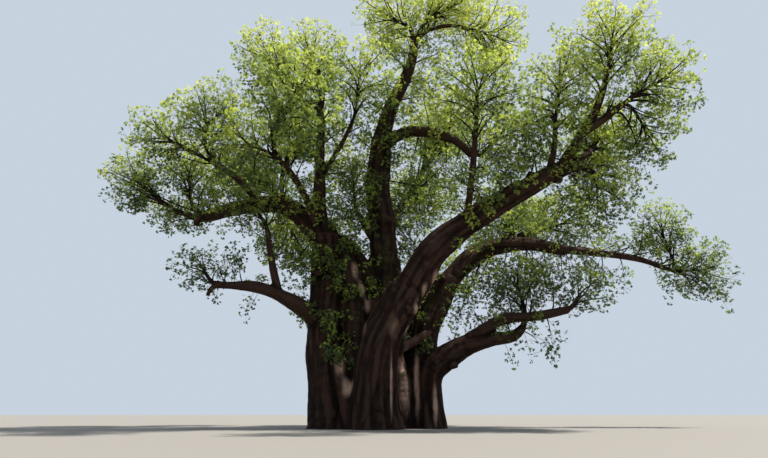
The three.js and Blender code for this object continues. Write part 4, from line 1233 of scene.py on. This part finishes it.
# %% Turn arrays into a piece
def mesh_of(name, points, faces):
    """A piece from arrays of points and of faces, which all have as many corners or are lists of such."""
    mesh = bpy.data.meshes.new(name)
    counts = np.concatenate([np.full(len(some), some.shape[1]) for some in faces])
    corners = np.concatenate([some.ravel() for some in faces])
    mesh.vertices.add(len(points))
    mesh.vertices.foreach_set("co", points.astype(np.float32).ravel())
    mesh.loops.add(len(corners))
    mesh.loops.foreach_set("vertex_index", corners.astype(np.int32))
    mesh.polygons.add(len(counts))
    mesh.polygons.foreach_set("loop_start", (np.cumsum(counts) - counts).astype(np.int32))
    mesh.update(calc_edges=True)
    piece = bpy.data.objects.new(name, mesh)
    bpy.context.scene.collection.objects.link(piece)
    return piece


print("shoots to make:", sum(len(found) for found in tubes.values()))

# %% [markdown]
# ## Tubes
# All shoots with the same number of points and sides have rings of the same layout, so one pattern of faces
# serves them all. Each shoot is a closed tube: a ring at each point but the last, a pointed tip, and a lid
# inside the wood. The stems and branches, the twigs, and the twiglets become one piece each.


# %% Make the twigs
def tube_arrays(shoots, sides):
    """Points and faces of many closed tubes with equal layouts."""
    lines = np.array([line for line, _ in shoots])
    radii = np.array([radius for _, radius in shoots])
    many, rings = lines.shape[:2]
    tangents = unit(np.gradient(lines, axis=1))
    chord = unit(lines[:, -1] - lines[:, 0])[:, None]
    helper = np.where(np.abs(chord[..., 2:]) < 0.8, UP, ALONG_X)
    across = unit(np.cross(tangents, helper))
    over = np.cross(tangents, across)
    turn = np.arange(sides) * 2 * math.pi / sides
    rim = (across[:, :, None] * np.cos(turn)[:, None] + over[:, :, None] * np.sin(turn)[:, None])
    body = lines[:, :, None] + rim * radii[:, :, None, None]
    points = np.concatenate([body[:, :-1].reshape(many, -1, 3), lines[:, -1:]], axis=1)
    here, after = np.arange(sides), (np.arange(sides) + 1) % sides
    walls = [np.stack([ring + here, ring + after, ring + sides + after, ring + sides + here], axis=1)
             for ring in range(0, (rings - 2) * sides, sides)]
    tip, last = (rings - 1) * sides, (rings - 2) * sides
    first = (np.arange(many) * points.shape[1])[:, None, None]
    end = np.stack([last + here, last + after, np.full(sides, tip)], axis=1)
    lid = here[::-1][None]
    faces = [(first + some).reshape(-1, some.shape[1]) for some in (*walls, end, lid)]
    return points.reshape(-1, 3), faces


def joined_tubes(name, kinds):
    """One piece from all remembered shoots of these kinds."""
    points, faces, first = [], [], 0
    for kind in kinds:
        some_points, some_faces = tube_arrays(tubes[kind], kind[1])
        points.append(some_points)
        faces += [f + first for f in some_faces]
        first += len(some_points)
    return mesh_of(name, np.vstack(points), faces)


branches = joined_tubes("branches", [kind for kind in tubes if kind[1] > TWIG_SIDES])
twigs = joined_tubes("twigs", [(TWIG_POINTS, TWIG_SIDES)])
twiglets = joined_tubes("twiglets", [(2, TWIG_SIDES)])
for piece in (branches, twigs, twiglets):
    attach(piece, "root")
    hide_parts(*[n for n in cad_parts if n.startswith("foliage")])
    print(piece.name, triangles(piece), "triangles")

# %% [markdown]
# ## Bark of branches and twigs
# Young bark is smoother and plainer than that of the limbs. The same group gives its fibres, now at the
# plain coordinates of the piece and finer, and the bump is at most a centimetre deep.

# %% Paint the branches and twigs
young_bark, tree, shader = new_material("young_bark", Roughness=0.85, Specular_IOR_Level=0.06)
place = add(tree, "TexCoord").outputs["Object"]
grain = add(tree, "Group", {"Place": place, "Fineness": 3.0, "Stretch": 2.0}, node_tree=fibres).outputs
tone = blend(tree, spread(tree, grain["Fibres"], 0.35, 0.65),
             from_screen(26, 21, 18), from_screen(52, 42, 36))
tree.links.new(tone, shader.inputs["Base Color"])
bump = add(tree, "Bump", {"Strength": 0.4, "Distance": 0.01, "Height": grain["Height"]})
tree.links.new(bump.outputs[0], shader.inputs["Normal"])
for piece in (branches, twigs, twiglets):
    piece.data.materials.append(young_bark)
print("young bark on", branches.name + ",", twigs.name, "and", twiglets.name)

# %% [markdown]
# ## Leaves
# A baobab's leaf is like a hand: five leaflets spread from the end of a stalk and droop towards their
# tips. Each of the three long ones is a kite of two faces, folded a little along its midrib. The two short
# outer ones are single faces, and the stalk is a sliver of one. A few such leaves stand round the end of
# every twiglet. They are larger than life, because a real tree this size has several times as many.

# %% Make the leaves
LEAVES_PER_SPRAY = 3
LEAFLET_LENGTH = (0.104, 0.173)
LEAFLET_WIDTH, WIDEST_AT, FOLD = 0.42, 0.58, 0.05
STALK, HALF_STALK_WIDTH = (0.05, 0.13), 0.004
BEHIND_TIP = 0.07
LEAF_ANGLE, LEAF_DROOP = (0.35, 1.35), (0.15, 0.75)
LEAFLET_TURNS = np.radians((-92, -44, 0, 44, 92))
LEAFLET_SHARES = np.array((0.72, 0.92, 1.0, 0.92, 0.72))


def leaf_arrays(found, rng):
    """Points and faces of every leaf of these sprays, and the spray that each face belongs to."""
    found = np.array(found)
    count = len(found) * LEAVES_PER_SPRAY
    tip = np.repeat(found[:, :3], LEAVES_PER_SPRAY, axis=0)
    heading = np.repeat(found[:, 3:6], LEAVES_PER_SPRAY, axis=0)
    spin = np.repeat(rng.uniform(0, FULL_TURN, len(found)), LEAVES_PER_SPRAY)
    turn = np.tile(np.arange(LEAVES_PER_SPRAY), len(found)) * GOLDEN + spin
    helper = np.where(np.abs(heading[:, 2:]) < 0.9, UP, ALONG_X)
    side = unit(np.cross(heading, helper))
    over = np.cross(side, heading)
    angle = rng.uniform(*LEAF_ANGLE, count)[:, None]
    out = unit(heading * np.cos(angle) + (side * np.cos(turn)[:, None] + over * np.sin(turn)[:, None])
               * np.sin(angle) - UP * 0.15)
    back = rng.uniform(0, BEHIND_TIP, count)[:, None]
    root = tip - heading * back
    palm = root + out * rng.uniform(*STALK, count)[:, None]
    face_up = unit(UP * 0.65 + rng.normal(0, 0.55, (count, 3)) + out * 0.3)
    left = unit(np.cross(face_up, out))
    ahead = unit(np.cross(left, face_up))
    size = rng.uniform(*LEAFLET_LENGTH, count)
    turns = LEAFLET_TURNS + rng.normal(0, 0.12, (count, 5))
    droop = rng.uniform(*LEAF_DROOP, (count, 1, 1))
    flat = ahead[:, None] * np.cos(turns)[..., None] + left[:, None] * np.sin(turns)[..., None]
    along = unit(flat * np.cos(droop) - face_up[:, None] * np.sin(droop))
    wide = unit(np.cross(face_up[:, None], along))
    length = (size[:, None] * LEAFLET_SHARES)[..., None]
    middle = palm[:, None] + along * length * WIDEST_AT + face_up[:, None] * length * FOLD
    half = wide * length * LEAFLET_WIDTH / 2
    hearts, ends = np.broadcast_to(palm[:, None], middle.shape), palm[:, None] + along * length
    kites = np.stack([hearts, middle - half, ends, middle + half], axis=2)[:, 1:4]
    edges = np.stack([(middle + half)[:, 0], (middle - half)[:, 4]], axis=1)
    outer = np.stack([hearts[:, ::4], edges, ends[:, ::4]], axis=2)
    stalk = np.stack([root - left * HALF_STALK_WIDTH, root + left * HALF_STALK_WIDTH, palm], axis=1)
    points = np.concatenate([kites.reshape(count, 12, 3), outer.reshape(count, 6, 3), stalk], axis=1)
    kite = np.arange(0, 12, 4)[:, None]
    faces = np.concatenate([kite + (0, 1, 2), kite + (0, 2, 3), [[12, 13, 14], [15, 16, 17], [18, 19, 20]]])
    return points, faces, np.repeat(found[:, 6].astype(int), LEAVES_PER_SPRAY)


def leaves_piece(name, found, seed):
    """One piece of leaves, without those that would reach out of the box of the solid model."""
    points, faces, tint = leaf_arrays(found, np.random.default_rng(seed))
    inside = ((points > np.array(solid_low)) & (points < np.array(solid_high))).all(axis=(1, 2))
    points, tint = points[inside], tint[inside]
    first = (np.arange(len(points)) * points.shape[1])[:, None, None]
    piece = mesh_of(name, points.reshape(-1, 3), [(first + faces).reshape(-1, 3)])
    piece.data.polygons.foreach_set("material_index", np.repeat(tint, len(faces)).astype(np.int32))
    return piece


leaf_pieces = [leaves_piece(name, found, seed) for seed, (name, found) in enumerate(sprays.items())]
for piece in leaf_pieces:
    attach(piece, "root")
    if piece.name in LEAF_PIECES:
        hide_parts(*["foliage_" + name for name in LEAF_PIECES[piece.name]])
    print(piece.name, triangles(piece), "triangles")

# %% [markdown]
# ## Colour of the leaves
# Each spray has one of four tints, by how high it is in its mass and in the tree: the leaves' own green with
# sun or shade painted in. Painted sun makes them yellow-green and painted shade a deep, dull green. A leaf is
# thin, so light comes through: the material mixes a plain surface with a Translucent shader, which glows
# where the sun is on the other side.

# %% Paint the leaves
mottle, given, wanted = new_group(
    "leaf_mottle", {"Tint": ("Color", (0.2, 0.4, 0.05, 1)), "Change": ("Float", 0.3)}, {"Color": "Color"})
place = add(mottle, "TexCoord").outputs["Object"]
patches = add(mottle, "TexNoise", {"Vector": place, "Scale": 2.3, "Detail": 2.0}).outputs[0]
value = spread(mottle, patches, 0.3, 0.7, 0.86, 1.14)
varied = add(mottle, "HueSaturation", {"Hue": 0.5, "Saturation": 1.0, "Value": value,
                                       "Fac": given["Change"], "Color": given["Tint"]}).outputs[0]
mottle.links.new(varied, wanted["Color"])

# One leaf green in four copies, from painted shade through half shade and half sun to painted full sun.
LEAF_TINTS = {"leaf_in_shade": (80, 98, 51), "leaf_half_shade": (132, 151, 66),
              "leaf_half_sun": (178, 191, 84), "leaf_in_sun": (202, 208, 104)}
THROUGH = 0.5


def leaf_material(name, colour):
    """The material of one tint, half of it translucent."""
    material, tree, shader = new_material(name, Roughness=0.55, Specular_IOR_Level=0.3)
    tint = add(tree, "Group", {"Tint": from_screen(*colour), "Change": 0.8}, node_tree=mottle).outputs[0]
    tree.links.new(tint, shader.inputs["Base Color"])
    through = add(tree, "BsdfTranslucent", {"Color": tint}).outputs[0]
    both = add(tree, "MixShader", {0: THROUGH, 1: shader.outputs[0], 2: through}).outputs[0]
    tree.links.new(both, tree.nodes["Material Output"].inputs["Surface"])
    return material


leaf_materials = [leaf_material(name, colour) for name, colour in LEAF_TINTS.items()]
for piece in leaf_pieces:
    for material in leaf_materials:
        piece.data.materials.append(material)
print("tints:", [material.name for material in leaf_materials])
